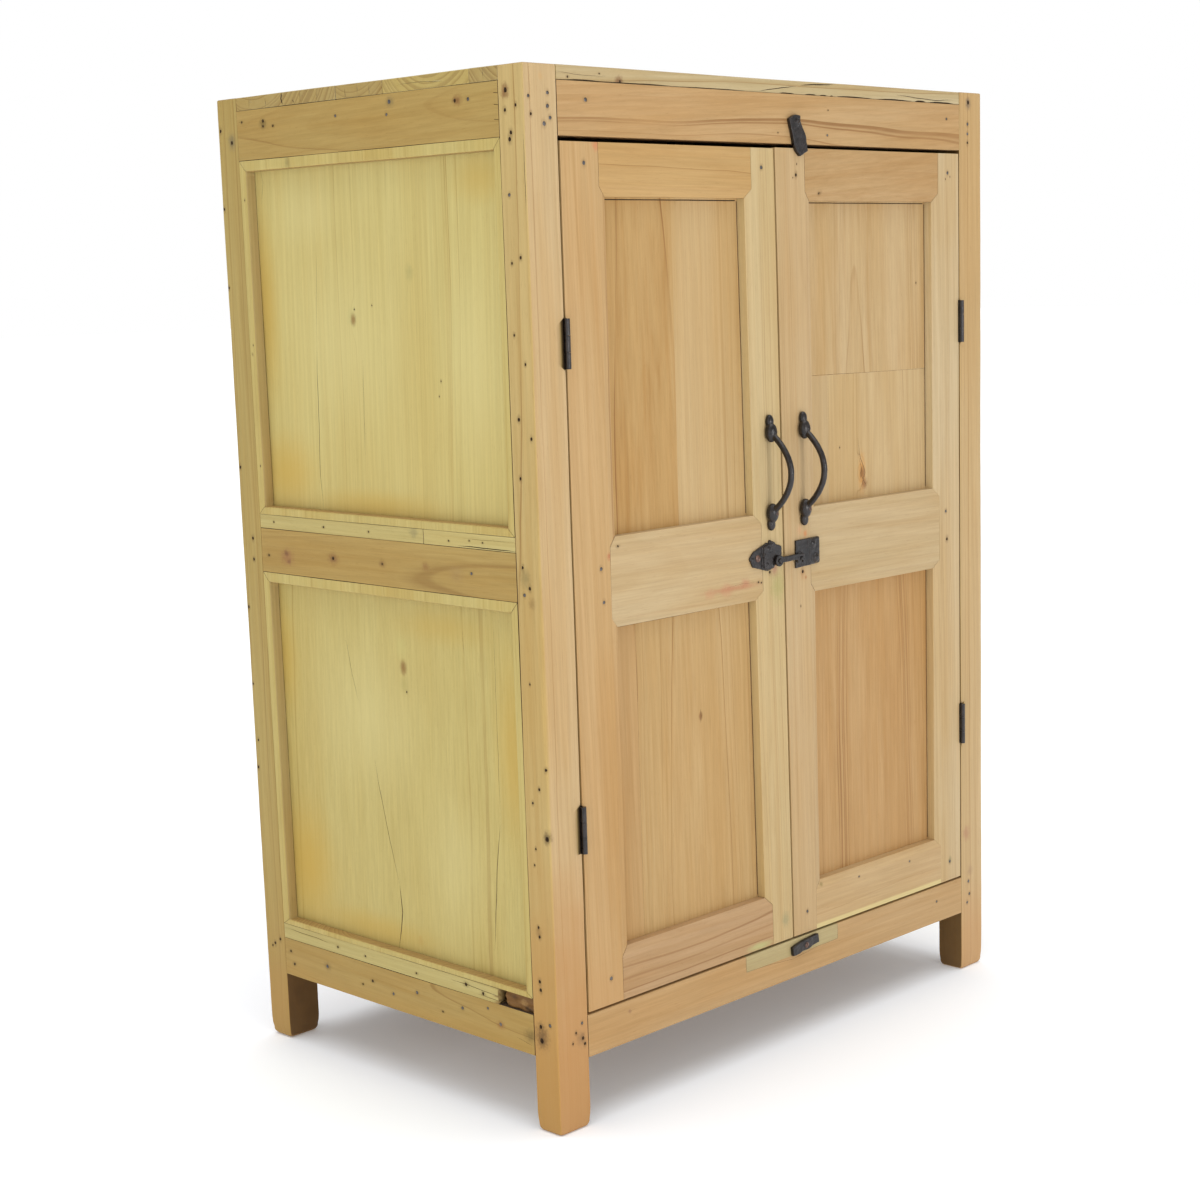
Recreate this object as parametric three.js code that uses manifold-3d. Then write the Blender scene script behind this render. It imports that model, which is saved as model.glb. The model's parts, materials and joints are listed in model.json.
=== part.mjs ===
// Small two-door armoire (cupboard) in stripped pine: corner posts, side frames
// with planted mouldings, framed doors on butt hinges, iron pulls, a hook latch
// and two forged turn buttons.
// Millimetres, +Z up, origin on the ground under the middle of the bounding box.
// The doors face -Y, and +X is to the right of someone facing them.
import * as THREE from 'three';
import { mergeVertices } from 'three/addons/utils/BufferGeometryUtils.js';
import Module from 'manifold-3d';

const wasm = await Module();
wasm.setup();

// ---------------------------------------------------------------- dimensions
const WIDTH = 829;
const DEPTH = 552;
const HEIGHT = 1200;
const POST_X = 48.5;             // post section along the front
const POST_Y = 39.5;             // post section along the side
const GAP = 0.3;                 // clearance kept between touching pieces

const TOP_BOARD_T = 15.6;
const RAIL_T = 30;               // thickness of the carcass rails
const FRONT_TOP_RAIL_Z = [1125.5, 1184.1];
const FRONT_BOTTOM_RAIL_Z = [83, 134.4];
const SIDE_TOP_RAIL_Z = [1125, 1184.1];
const SIDE_MIDDLE_RAIL_Z = [619.5, 674.8];
const SIDE_BOTTOM_RAIL_Z = [89.5, 139];
const FILLER_MIDDLE_Z = [675.1, 692];
const FILLER_BOTTOM_Z = [139.3, 158.3];
const FILLER_T = 18;

const PANEL_SET_BACK = 14.5;     // face of a panel behind the face of its frame
const PANEL_T = 6;
const SIDE_PANEL_GROOVE = 7;
const BEAD_SIDE = 11.5;          // widths of the planted side mouldings
const BEAD_TOP = 13;
const BEAD_UPPER_FOOT = 10;
const BEAD_LOWER_FOOT = 7;

const TOP_BOARD_JOINTS_Y = [-191, -43, 42];
const BACK_T = 16;
const BACK_SET_BACK = 8;
const BACK_Z = [83, 450, 817, 1184.1];
const SHELF_Z = [675.1, 691.7];
const FLOOR_Z = [139.3, 156];

const DOOR_T = 24;
const DOOR_Z = [137.4, 1120];
const DOOR_RIGHT_TOP_Z = 1121;
const DOOR_EDGE_X = 363.6;       // hinge edge of each door
const MEETING_GAP = 3;
const CHAMFER_W = 11;            // worn chamfer round each door panel
const CHAMFER_D = 3;
const DOOR_GROOVE = 6.5;

const HINGE_AXIS_X = 365;
const HINGE_PROUD = 3.5;         // axis in front of the door face
const HINGE_LENGTH = 55;
const HINGE_BARREL_R = 3.3;
const HINGE_PIN_R = 1.3;
const HINGE_LEAF_T = 1.4;
const HINGE_LEAF_DEPTH = 20;
const HINGE_UPPER_Z = 903;
const HINGE_LOWER_Z = 355;

const HANDLE_LEFT_X = -29.5;
const HANDLE_RIGHT_X = 33.5;
const HANDLE_Z = 733.5;
const HANDLE_LENGTH = 141;
const HANDLE_PROUD = 36;         // centre of the bar in front of the door
const HANDLE_BAR_R = 3.5;

const LATCH_Z = 631;
const LATCH_PIVOT = [-17, 625];
const LATCH_STUD = [20.5, 623.6];

const ORIGIN_SHIFT_Y = 19.65;

const TOP_BUTTON_PIVOT = [29.5, 1151];
const BOTTOM_BUTTON_PIVOT = [21.5, 123.8];
const BUTTON_T = 5;

// ------------------------------------------------------------------- colours
const WOOD = 0xcdb078;
const WOOD_PALE = 0xd3c68a;
const WOOD_RAIL = 0xb99c62;
const WOOD_POST = 0xd2b382;
const WOOD_INSIDE = 0xa88a58;
const IRON = 0x2e2624;

// --------------------------------------------------------------- solid tools
const HX = WIDTH / 2;
const HY = DEPTH / 2;
const FRONT = -HY;

function solid(geometry) {
  const g = geometry.clone();
  for (const name of Object.keys(g.attributes)) if (name !== 'position') g.deleteAttribute(name);
  const merged = mergeVertices(g, 1e-4);
  return new wasm.Manifold(new wasm.Mesh({
    numProp: 3,
    vertProperties: new Float32Array(merged.attributes.position.array),
    triVerts: new Uint32Array(merged.index.array),
  }));
}

function box(x0, x1, y0, y1, z0, z1) {
  const g = new THREE.BoxGeometry(x1 - x0, y1 - y0, z1 - z0);
  g.translate((x0 + x1) / 2, (y0 + y1) / 2, (z0 + z1) / 2);
  return solid(g);
}

// outline [x, z] extruded from y0 to y1
function prismXZ(points, y0, y1) {
  const shape = new THREE.Shape(points.map(([x, z]) => new THREE.Vector2(x, z)));
  const g = new THREE.ExtrudeGeometry(shape, { depth: y1 - y0, bevelEnabled: false, curveSegments: 24 });
  g.rotateX(Math.PI / 2);
  g.translate(0, y1, 0);
  return solid(g);
}

// closed skin over a stack of rings that all have the same number of points
function loft(rings) {
  const n = rings[0].length;
  const position = rings.flat(2);
  const index = [];
  for (let k = 0; k + 1 < rings.length; k++) {
    for (let i = 0; i < n; i++) {
      const a = k * n + i, b = k * n + (i + 1) % n;
      index.push(a, b, b + n, a, b + n, a + n);
    }
  }
  const last = (rings.length - 1) * n;
  for (let i = 1; i + 1 < n; i++) {
    index.push(0, i + 1, i);
    index.push(last, last + i, last + i + 1);
  }
  const g = new THREE.BufferGeometry();
  g.setAttribute('position', new THREE.Float32BufferAttribute(position, 3));
  g.setIndex(index);
  return solid(g);
}

function cylinderY(x, z, r, y0, y1, sides = 24) {
  const g = new THREE.CylinderGeometry(r, r, y1 - y0, sides);
  g.translate(x, (y0 + y1) / 2, z);
  return solid(g);
}

function cylinderZ(x, y, r, z0, z1, sides = 20) {
  const g = new THREE.CylinderGeometry(r, r, z1 - z0, sides);
  g.rotateX(Math.PI / 2);
  g.translate(x, y, (z0 + z1) / 2);
  return solid(g);
}

function ellipsoid(x, y, z, rx, ry, rz) {
  const g = new THREE.SphereGeometry(1, 20, 14);
  g.rotateX(Math.PI / 2);
  g.scale(rx, ry, rz);
  g.translate(x, y, z);
  return solid(g);
}

function area(points) {
  let s = 0;
  for (let i = 0; i < points.length; i++) {
    const [x0, y0] = points[i], [x1, y1] = points[(i + 1) % points.length];
    s += x0 * y1 - x1 * y0;
  }
  return s / 2;
}

// move every edge of an outline inwards by d (outwards when d is negative)
function inset(points, d) {
  const p = area(points) > 0 ? points : [...points].reverse();
  const n = p.length;
  const out = [];
  for (let i = 0; i < n; i++) {
    const a = p[(i + n - 1) % n], b = p[i], c = p[(i + 1) % n];
    const u = new THREE.Vector2(b[0] - a[0], b[1] - a[1]).normalize();
    const v = new THREE.Vector2(c[0] - b[0], c[1] - b[1]).normalize();
    const nu = new THREE.Vector2(-u.y, u.x), nv = new THREE.Vector2(-v.y, v.x);
    const k = d / (1 + nu.dot(nv));
    out.push([b[0] + (nu.x + nv.x) * k, b[1] + (nu.y + nv.y) * k]);
  }
  return out;
}

const assembly = new THREE.Group();
assembly.name = 'armoire';
// the carcass is drawn about its own middle; the pulls stand in front of it,
// so the whole is moved back to put the origin under the middle of everything
assembly.position.y = ORIGIN_SHIFT_Y;

function add(name, manifold, color, metal = 0, rough = 0.75) {
  const m = manifold.getMesh();
  const g = new THREE.BufferGeometry();
  g.setAttribute('position', new THREE.Float32BufferAttribute(m.vertProperties, 3));
  g.setIndex(new THREE.Uint32BufferAttribute(m.triVerts, 1));
  const flat = g.toNonIndexed();
  flat.computeVertexNormals();
  const mesh = new THREE.Mesh(flat, new THREE.MeshStandardMaterial({ color, roughness: rough, metalness: metal }));
  mesh.name = name;
  assembly.add(mesh);
  return mesh;
}

const mirrorX = (m) => m.mirror([1, 0, 0]);

// --------------------------------------------------------------------- posts
// square post with eased edges and a foot worn round at the bottom
function post(x0, x1, y0, y1) {
  const ring = (z, d, c) => [
    [x0 + d + c, y0 + d, z], [x1 - d - c, y0 + d, z], [x1 - d, y0 + d + c, z], [x1 - d, y1 - d - c, z],
    [x1 - d - c, y1 - d, z], [x0 + d + c, y1 - d, z], [x0 + d, y1 - d - c, z], [x0 + d, y0 + d + c, z],
  ];
  return loft([
    ring(0, 9, 4), ring(2.5, 5, 3.4), ring(7, 2.4, 2.6), ring(14, 0.9, 1.8), ring(24, 0, 1),
    ring(HEIGHT - 1, 0, 1), ring(HEIGHT, 0.8, 1),
  ]);
}

const innerX = HX - POST_X;      // faces of the posts that look at each other
const innerY = HY - POST_Y;

const leafSlot = (zMid) => box(
  innerX - 5, innerX + HINGE_LEAF_T + 0.3, FRONT - 1, FRONT + HINGE_LEAF_DEPTH + 0.4,
  zMid - HINGE_LENGTH / 2 - 0.3, zMid + HINGE_LENGTH / 2 + 0.3,
);
const sideGroove = (z0, z1, y0, y1) => box(
  HX - PANEL_SET_BACK - PANEL_T - GAP, HX - PANEL_SET_BACK + GAP, y0, y1, z0, z1,
);
const backGroove = (z0, z1) => box(
  innerX - 1, innerX + 7.5, HY - BACK_SET_BACK - BACK_T - GAP, HY - BACK_SET_BACK + GAP, z0, z1,
);

const PANEL_UPPER_Z = [FILLER_MIDDLE_Z[1] + GAP, SIDE_TOP_RAIL_Z[0] + 6];
const PANEL_LOWER_Z = [FILLER_BOTTOM_Z[1] + GAP, SIDE_MIDDLE_RAIL_Z[0] + 6];

function frontPost() {
  let p = post(innerX, HX, -HY, -innerY);
  for (const z of [HINGE_UPPER_Z, HINGE_LOWER_Z]) p = p.subtract(leafSlot(z));
  for (const [z0, z1] of [PANEL_UPPER_Z, PANEL_LOWER_Z]) {
    p = p.subtract(sideGroove(z0 - 0.5, z1 + 0.5, -innerY - SIDE_PANEL_GROOVE - 0.5, -innerY + 1));
  }
  return p;
}
function backPost() {
  let p = post(innerX, HX, innerY, HY);
  for (const [z0, z1] of [PANEL_UPPER_Z, PANEL_LOWER_Z]) {
    p = p.subtract(sideGroove(z0 - 0.5, z1 + 0.5, innerY - 1, innerY + SIDE_PANEL_GROOVE + 0.5));
  }
  return p.subtract(backGroove(BACK_Z[0] - 0.3, BACK_Z[3] + 0.3));
}
add('post_front_right', frontPost(), WOOD_POST);
add('post_front_left', mirrorX(frontPost()), WOOD_POST);
add('post_back_right', backPost(), WOOD_RAIL);
add('post_back_left', mirrorX(backPost()), WOOD_RAIL);

// --------------------------------------------------------------- front rails
const railX = innerX - GAP;
add('rail_front_top', box(-railX, railX, FRONT, FRONT + RAIL_T - 2, ...FRONT_TOP_RAIL_Z), WOOD);
add('rail_front_bottom', box(-railX, railX, FRONT, FRONT + DOOR_T, ...FRONT_BOTTOM_RAIL_Z), WOOD);

// --------------------------------------------------------------- side frames
const railY = innerY - GAP;
const beadBack = PANEL_SET_BACK - GAP;
const PANEL_Y = innerY + SIDE_PANEL_GROOVE;

function sideRail([z0, z1], thickness, panelZ) {
  let r = box(HX - thickness, HX, -railY, railY, z0, z1);
  if (panelZ) r = r.subtract(sideGroove(z0 - 1, panelZ + 0.5, -railY - 1, railY + 1));
  return r;
}
function bead(z0, z1, foot) {
  const outer = box(HX - beadBack, HX, -railY, railY, z0, z1);
  const y = railY - BEAD_SIDE;
  // the inner edge leans a little, so the bead is worn narrower at its face
  const ring = (x, e) => [
    [x, -y - e, z0 + foot - e], [x, y + e, z0 + foot - e], [x, y + e, z1 - BEAD_TOP + e], [x, -y - e, z1 - BEAD_TOP + e],
  ];
  const hole = loft([ring(HX - beadBack - 1, 0), ring(HX - 2, 0), ring(HX + 0.5, 1.6)]);
  return outer.subtract(hole);
}

const sideParts = (side, flip, withFillers) => {
  const put = (name, m, color) => add(name.replace('SIDE', side), flip ? mirrorX(m) : m, color);
  const middleTop = withFillers ? SIDE_MIDDLE_RAIL_Z[1] : FILLER_MIDDLE_Z[1];
  const bottomTop = withFillers ? SIDE_BOTTOM_RAIL_Z[1] : FILLER_BOTTOM_Z[1];
  put('rail_SIDE_top', sideRail(SIDE_TOP_RAIL_Z, RAIL_T, PANEL_UPPER_Z[1]), WOOD_RAIL);
  put('rail_SIDE_middle', sideRail([SIDE_MIDDLE_RAIL_Z[0], middleTop], RAIL_T, PANEL_LOWER_Z[1]), WOOD_RAIL);
  put('rail_SIDE_bottom', sideRail([SIDE_BOTTOM_RAIL_Z[0], bottomTop], RAIL_T, 0), WOOD_RAIL);
  if (withFillers) {
    put('filler_SIDE_middle', sideRail(FILLER_MIDDLE_Z, FILLER_T, 0), WOOD_PALE);
    put('filler_SIDE_bottom', sideRail(FILLER_BOTTOM_Z, FILLER_T, 0), WOOD_PALE);
  }
  const panel = ([z0, z1]) => box(HX - PANEL_SET_BACK - PANEL_T, HX - PANEL_SET_BACK, -PANEL_Y, PANEL_Y, z0, z1);
  put('panel_SIDE_upper', panel(PANEL_UPPER_Z), WOOD_PALE);
  put('panel_SIDE_lower', panel(PANEL_LOWER_Z), WOOD_PALE);
  put('moulding_SIDE_upper', bead(FILLER_MIDDLE_Z[1] + GAP, SIDE_TOP_RAIL_Z[0] - GAP, BEAD_UPPER_FOOT), WOOD_PALE);
  put('moulding_SIDE_lower', bead(FILLER_BOTTOM_Z[1] + GAP, SIDE_MIDDLE_RAIL_Z[0] - GAP, BEAD_LOWER_FOOT), WOOD_PALE);
};
sideParts('left', true, true);
sideParts('right', false, false);

// ---------------------------------------------------------------- top boards
const topZ = [HEIGHT - TOP_BOARD_T, HEIGHT];
const boardEdges = [-HY, ...TOP_BOARD_JOINTS_Y, HY];
for (let i = 0; i < 4; i++) {
  const y0 = boardEdges[i] + (i ? GAP / 2 + 0.1 : 0), y1 = boardEdges[i + 1] - (i < 3 ? GAP / 2 + 0.1 : 0);
  let b = box(-HX, HX, y0, y1, ...topZ);
  for (const s of [-1, 1]) {
    const xs = s < 0 ? [-HX - 1, -innerX + GAP] : [innerX - GAP, HX + 1];
    if (i === 0) b = b.subtract(box(...xs, -HY - 1, -innerY + GAP, topZ[0] - 1, topZ[1] + 1));
    if (i === 3) b = b.subtract(box(...xs, innerY - GAP, HY + 1, topZ[0] - 1, topZ[1] + 1));
  }
  add(`top_board_${i + 1}`, b, i === 1 ? WOOD_PALE : WOOD);
}

// ------------------------------------------------------- back, shelf, floor
for (let i = 0; i < 3; i++) {
  add(`back_board_${i + 1}`, box(
    -innerX - 7, innerX + 7, HY - BACK_SET_BACK - BACK_T, HY - BACK_SET_BACK,
    BACK_Z[i] + (i ? 0.4 : 0), BACK_Z[i + 1] - (i < 2 ? 0.4 : 0),
  ), WOOD_INSIDE);
}
const backInner = HY - BACK_SET_BACK - BACK_T - GAP;
function innerBoard([z0, z1], frontY) {
  const left = -(HX - FILLER_T - GAP), right = HX - RAIL_T - GAP;
  let b = box(left, right, -innerY + GAP, innerY - GAP, z0, z1);
  b = b.add(box(-innerX + GAP, innerX - GAP, frontY, backInner, z0, z1));
  return b;
}
const DOOR_BACK = FRONT + DOOR_T;
add('shelf', innerBoard(SHELF_Z, DOOR_BACK + 12), WOOD_INSIDE);
// a strip under its front edge closes the gap above the bottom rail
const floorLip = box(-innerX + GAP, innerX - GAP, DOOR_BACK + 0.8, DOOR_BACK + 18, 120, FLOOR_Z[0] + 1);
add('floor_board', innerBoard(FLOOR_Z, DOOR_BACK + 0.8).add(floorLip), WOOD_INSIDE);

// --------------------------------------------------------------------- doors
const along = (z, atTop, atBottom) => atBottom + (atTop - atBottom) * (z - DOOR_Z[0]) / (DOOR_Z[1] - DOOR_Z[0]);
const meetL = (z) => along(z, -10.5, 1.5);
const meetR = (z) => meetL(z) + MEETING_GAP;

// d.l, d.r: outer edges; d.jl, d.jr: inner edges of the stiles' flat faces, as functions of z
function door(side, d) {
  const at = (f, z) => [f(z), z];
  const c = CHAMFER_W;
  const sight = ([z0, z1]) => [
    [d.jl(z0) + c, z0], [d.jr(z0) - c, z0], [d.jr(z1) - c, z1], [d.jl(z1) + c, z1],
  ];
  const openings = [d.lower, d.upper];
  let frame = prismXZ([at(d.l, d.z0), at(d.r, d.z0), at(d.r, d.z1), at(d.l, d.z1)], FRONT, DOOR_BACK);
  for (const o of openings) {
    const s = sight(o);
    frame = frame.subtract(prismXZ(s, FRONT - 1, DOOR_BACK + 1));
    const ringAt = (depth, grow) => inset(s, -grow).map(([x, z]) => [x, FRONT + depth, z]);
    frame = frame.subtract(loft([
      ringAt(CHAMFER_D, 0), ringAt(0, c), ringAt(-1, c * (1 + 1 / CHAMFER_D)),
    ]));
    frame = frame.subtract(prismXZ(
      inset(s, -DOOR_GROOVE), FRONT + PANEL_SET_BACK - GAP, FRONT + PANEL_SET_BACK + PANEL_T + GAP,
    ));
  }
  const cut = (outline) => frame.intersect(prismXZ(inset(outline, 0.16), FRONT - 2, DOOR_BACK + 2));
  // tooth of the stile between two mitres
  const tooth = (joint, sgn, [z0, z1]) => [
    [joint(z0 - c), z0 - c], [joint(z0) + sgn * c, z0], [joint(z1) + sgn * c, z1], [joint(z1 + c), z1 + c],
  ];
  const hingeSlots = (m, sgn) => {
    for (const z of [HINGE_UPPER_Z, HINGE_LOWER_Z]) {
      const a = sgn * (DOOR_EDGE_X + 3), b = sgn * (DOOR_EDGE_X - HINGE_LEAF_T - 0.3);
      m = m.subtract(box(
        Math.min(a, b), Math.max(a, b), FRONT - 1, FRONT + HINGE_LEAF_DEPTH + 0.4,
        z - HINGE_LENGTH / 2 - 0.3, z + HINGE_LENGTH / 2 + 0.3,
      ));
    }
    return m;
  };
  let stileL = cut([
    at(d.l, d.z0), [d.jl(d.z0), d.z0], ...tooth(d.jl, 1, d.lower), ...tooth(d.jl, 1, d.upper), [d.jl(d.z1), d.z1], at(d.l, d.z1),
  ]);
  let stileR = cut([
    [d.jr(d.z0), d.z0], at(d.r, d.z0), at(d.r, d.z1), [d.jr(d.z1), d.z1],
    ...[...tooth(d.jr, -1, d.upper)].reverse(), ...[...tooth(d.jr, -1, d.lower)].reverse(),
  ]);
  if (side === 'left') stileL = hingeSlots(stileL, -1);
  else stileR = hingeSlots(stileR, 1);
  const [hinge, meet] = side === 'left' ? [stileL, stileR] : [stileR, stileL];
  add(`door_${side}_hinge_stile`, hinge, WOOD);
  add(`door_${side}_meeting_stile`, meet, WOOD);
  const top = (z) => [[d.jl(z + c), z + c], [d.jl(z) + c, z], [d.jr(z) - c, z], [d.jr(z + c), z + c]];
  const bottom = (z) => [[d.jr(z - c), z - c], [d.jr(z) - c, z], [d.jl(z) + c, z], [d.jl(z - c), z - c]];
  add(`door_${side}_top_rail`, cut([...top(d.upper[1]), at(d.jr, d.z1), at(d.jl, d.z1)]), WOOD);
  add(`door_${side}_middle_rail`, cut([...top(d.lower[1]), ...bottom(d.upper[0])]), WOOD);
  add(`door_${side}_bottom_rail`, cut([at(d.jl, d.z0), at(d.jr, d.z0), ...bottom(d.lower[0])]), WOOD);
  for (const [name, o] of [['upper', d.upper], ['lower', d.lower]]) {
    add(`door_${side}_${name}_panel`, prismXZ(
      inset(sight(o), -(DOOR_GROOVE - 0.5)), FRONT + PANEL_SET_BACK, FRONT + PANEL_SET_BACK + PANEL_T,
    ), WOOD);
  }
}
door('left', {
  z0: DOOR_Z[0], z1: DOOR_Z[1],
  l: () => -DOOR_EDGE_X, r: meetL,
  jl: () => -306, jr: (z) => along(z, -52, -36),
  lower: [200.6, 579], upper: [683.5, 1061],
});
door('right', {
  z0: DOOR_Z[0], z1: DOOR_RIGHT_TOP_Z,
  l: meetR, r: () => DOOR_EDGE_X,
  jl: (z) => along(z, 47.3, 49.2), jr: () => 318.5,
  lower: [200.6, 576.5], upper: [684, 1058.5],
});

// -------------------------------------------------------------------- hinges
const axisY = FRONT - HINGE_PROUD;
function hingeLeaves(zMid) {
  const L = HINGE_LENGTH, third = L / 3;
  const z0 = zMid - L / 2, z1 = zMid + L / 2;
  const m0 = z0 + third, m1 = z1 - third;
  const plate = (x0, x1) => box(x0, x1, axisY + 1, FRONT + HINGE_LEAF_DEPTH, z0, z1);
  // leaf let into the post, with the two outer knuckles and the pin
  let fixed = plate(innerX, innerX + HINGE_LEAF_T)
    .subtract(cylinderZ(HINGE_AXIS_X, axisY, HINGE_BARREL_R + 0.4, m0 - 0.2, m1 + 0.2));
  for (const [a, b] of [[z0, m0 - 0.2], [m1 + 0.2, z1]]) {
    fixed = fixed.add(cylinderZ(HINGE_AXIS_X, axisY, HINGE_BARREL_R, a, b));
  }
  fixed = fixed.add(cylinderZ(HINGE_AXIS_X, axisY, HINGE_PIN_R, z0 + 1, z1 - 1, 12));
  // leaf let into the door edge, with the middle knuckle
  const xd = DOOR_EDGE_X;
  let moving = plate(xd - HINGE_LEAF_T, xd)
    .subtract(cylinderZ(HINGE_AXIS_X, axisY, HINGE_BARREL_R + 0.4, z0 - 1, m0 + 0.1))
    .subtract(cylinderZ(HINGE_AXIS_X, axisY, HINGE_BARREL_R + 0.4, m1 - 0.1, z1 + 1));
  moving = moving.add(cylinderZ(HINGE_AXIS_X, axisY, HINGE_BARREL_R, m0 + 0.1, m1 - 0.1));
  moving = moving.subtract(cylinderZ(HINGE_AXIS_X, axisY, HINGE_PIN_R + 0.35, m0 - 1, m1 + 1, 12));
  return [fixed, moving];
}
for (const [level, z] of [['upper', HINGE_UPPER_Z], ['lower', HINGE_LOWER_Z]]) {
  const [fixed, moving] = hingeLeaves(z);
  add(`hinge_right_${level}_post_leaf`, fixed, IRON, 0.7, 0.5);
  add(`hinge_right_${level}_door_leaf`, moving, IRON, 0.7, 0.5);
  add(`hinge_left_${level}_post_leaf`, mirrorX(fixed), IRON, 0.7, 0.5);
  add(`hinge_left_${level}_door_leaf`, mirrorX(moving), IRON, 0.7, 0.5);
}

// ------------------------------------------------------------------- handles
function handle(x) {
  const seat = FRONT - GAP;
  const bulbZ = HANDLE_LENGTH / 2 - 21.5;
  const at = (t, y, z) => new THREE.Vector3(x, seat - y, HANDLE_Z + z);
  const path = new THREE.CatmullRomCurve3([
    at(0, 6, bulbZ - 2), at(0, 14, bulbZ - 8), at(0, 25, bulbZ - 20), at(0, 33, bulbZ - 34), at(0, HANDLE_PROUD - GAP, 0),
    at(0, 33, -bulbZ + 34), at(0, 25, -bulbZ + 20), at(0, 14, -bulbZ + 8), at(0, 6, -bulbZ + 2),
  ]);
  const section = new THREE.Shape();
  section.absarc(0, 0, HANDLE_BAR_R, 0, Math.PI * 2);
  let h = solid(new THREE.ExtrudeGeometry(section, { steps: 36, bevelEnabled: false, extrudePath: path, curveSegments: 5 }));
  for (const s of [-1, 1]) {
    h = h.add(ellipsoid(x, seat - 5, HANDLE_Z + s * bulbZ, 7.8, 6.6, 11.5));
    h = h.add(ellipsoid(x, seat - 2.6, HANDLE_Z + s * (HANDLE_LENGTH / 2 - 8), 5.2, 4.4, 8));
  }
  return h.subtract(box(x - 20, x + 20, seat, seat + 20, HANDLE_Z - 90, HANDLE_Z + 90));
}
add('handle_left', handle(HANDLE_LEFT_X), IRON, 0.7, 0.45);
add('handle_right', handle(HANDLE_RIGHT_X), IRON, 0.7, 0.45);

// --------------------------------------------------------------------- latch
// arrow-ended plate with a raised block and the pivot, on the left door
const latchSeat = FRONT - GAP;
let latchPlate = prismXZ([
  [-70, LATCH_Z + 1], [-64, LATCH_Z - 10], [-36, LATCH_Z - 17.5], [-27, LATCH_Z - 14], [-12.5, LATCH_Z + 0],
  [-12.5, LATCH_Z + 12], [-29, LATCH_Z + 17], [-38.5, LATCH_Z + 17.5], [-62.5, LATCH_Z + 8.5],
], latchSeat - 2.2, latchSeat);
latchPlate = latchPlate.add(prismXZ([
  [-46, LATCH_Z - 13], [-36, LATCH_Z - 16], [-27.5, LATCH_Z - 13], [-13.5, LATCH_Z + 0.5], [-13.5, LATCH_Z + 11.5],
  [-29, LATCH_Z + 15.8], [-38, LATCH_Z + 16], [-46, LATCH_Z + 13],
], latchSeat - 5, latchSeat - 1));
latchPlate = latchPlate.add(cylinderY(LATCH_PIVOT[0] - 4, LATCH_PIVOT[1], 2.6, latchSeat - 9.6, latchSeat - 1));
add('latch_plate', latchPlate, IRON, 0.6, 0.55);

// arm that drops over the stud of the keeper
const armY = [latchSeat - 8.6, latchSeat - 5.4];
const pivotX = LATCH_PIVOT[0] - 4;
let arm = cylinderY(pivotX, LATCH_PIVOT[1], 7, ...armY)
  .add(prismXZ([
    [pivotX, LATCH_PIVOT[1] - 3], [12, LATCH_PIVOT[1] - 2.2], [14, LATCH_PIVOT[1] - 6.5], [26, LATCH_PIVOT[1] - 6.5],
    [27.5, LATCH_PIVOT[1] - 1], [25, LATCH_PIVOT[1] + 4.4], [14, LATCH_PIVOT[1] + 4.8], [pivotX, LATCH_PIVOT[1] + 4],
  ], ...armY));
arm = arm.subtract(box(LATCH_STUD[0] - 2.7, LATCH_STUD[0] + 2.7, armY[0] - 1, armY[1] + 1, LATCH_Z - 30, LATCH_STUD[1] + 2.7));
arm = arm.subtract(cylinderY(pivotX, LATCH_PIVOT[1], 3, armY[0] - 1, armY[1] + 1));
add('latch_hook', arm, IRON, 0.6, 0.55);

// square keeper plate with its stud, on the right door
let keeper = prismXZ([[16.5, LATCH_Z - 20], [60.5, LATCH_Z - 18], [61.5, LATCH_Z + 15.5], [17, LATCH_Z + 14.5]], latchSeat - 2.4, latchSeat);
keeper = keeper.add(cylinderY(LATCH_STUD[0], LATCH_STUD[1], 2.2, latchSeat - 10, latchSeat - 1));
add('latch_keeper', keeper, IRON, 0.6, 0.55);

// -------------------------------------------------------------- turn buttons
const buttonSeat = FRONT - GAP;
const turnButton = (outline, [px, pz]) => prismXZ(outline, buttonSeat - BUTTON_T, buttonSeat)
  .add(cylinderY(px, pz, 3.8, buttonSeat - BUTTON_T - 1.4, buttonSeat - 1));
add('turn_button_top', turnButton([
  [15, 1155], [26, 1160], [35.3, 1159], [35.3, 1152], [40.5, 1143.5], [45.6, 1134.5], [47.2, 1123],
  [49, 1117.8], [34.5, 1111], [28.6, 1116.5], [23.2, 1124.5], [21.6, 1133], [18, 1144.5],
], TOP_BUTTON_PIVOT), IRON, 0.6, 0.55);
add('turn_button_bottom', turnButton([
  [-4.5, 125.8], [-3, 114], [9, 115], [13.5, 116.6], [27, 116.9], [35.5, 119.8], [48, 121.2],
  [46.5, 133], [30, 131.6], [15.5, 130.2], [5, 128.4],
], BOTTOM_BUTTON_PIVOT), IRON, 0.6, 0.55);

export default assembly;
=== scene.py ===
import json
import math

import bpy
import bmesh
import numpy as np
from mathutils import Matrix, Vector, noise
from mathutils.bvhtree import BVHTree

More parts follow.
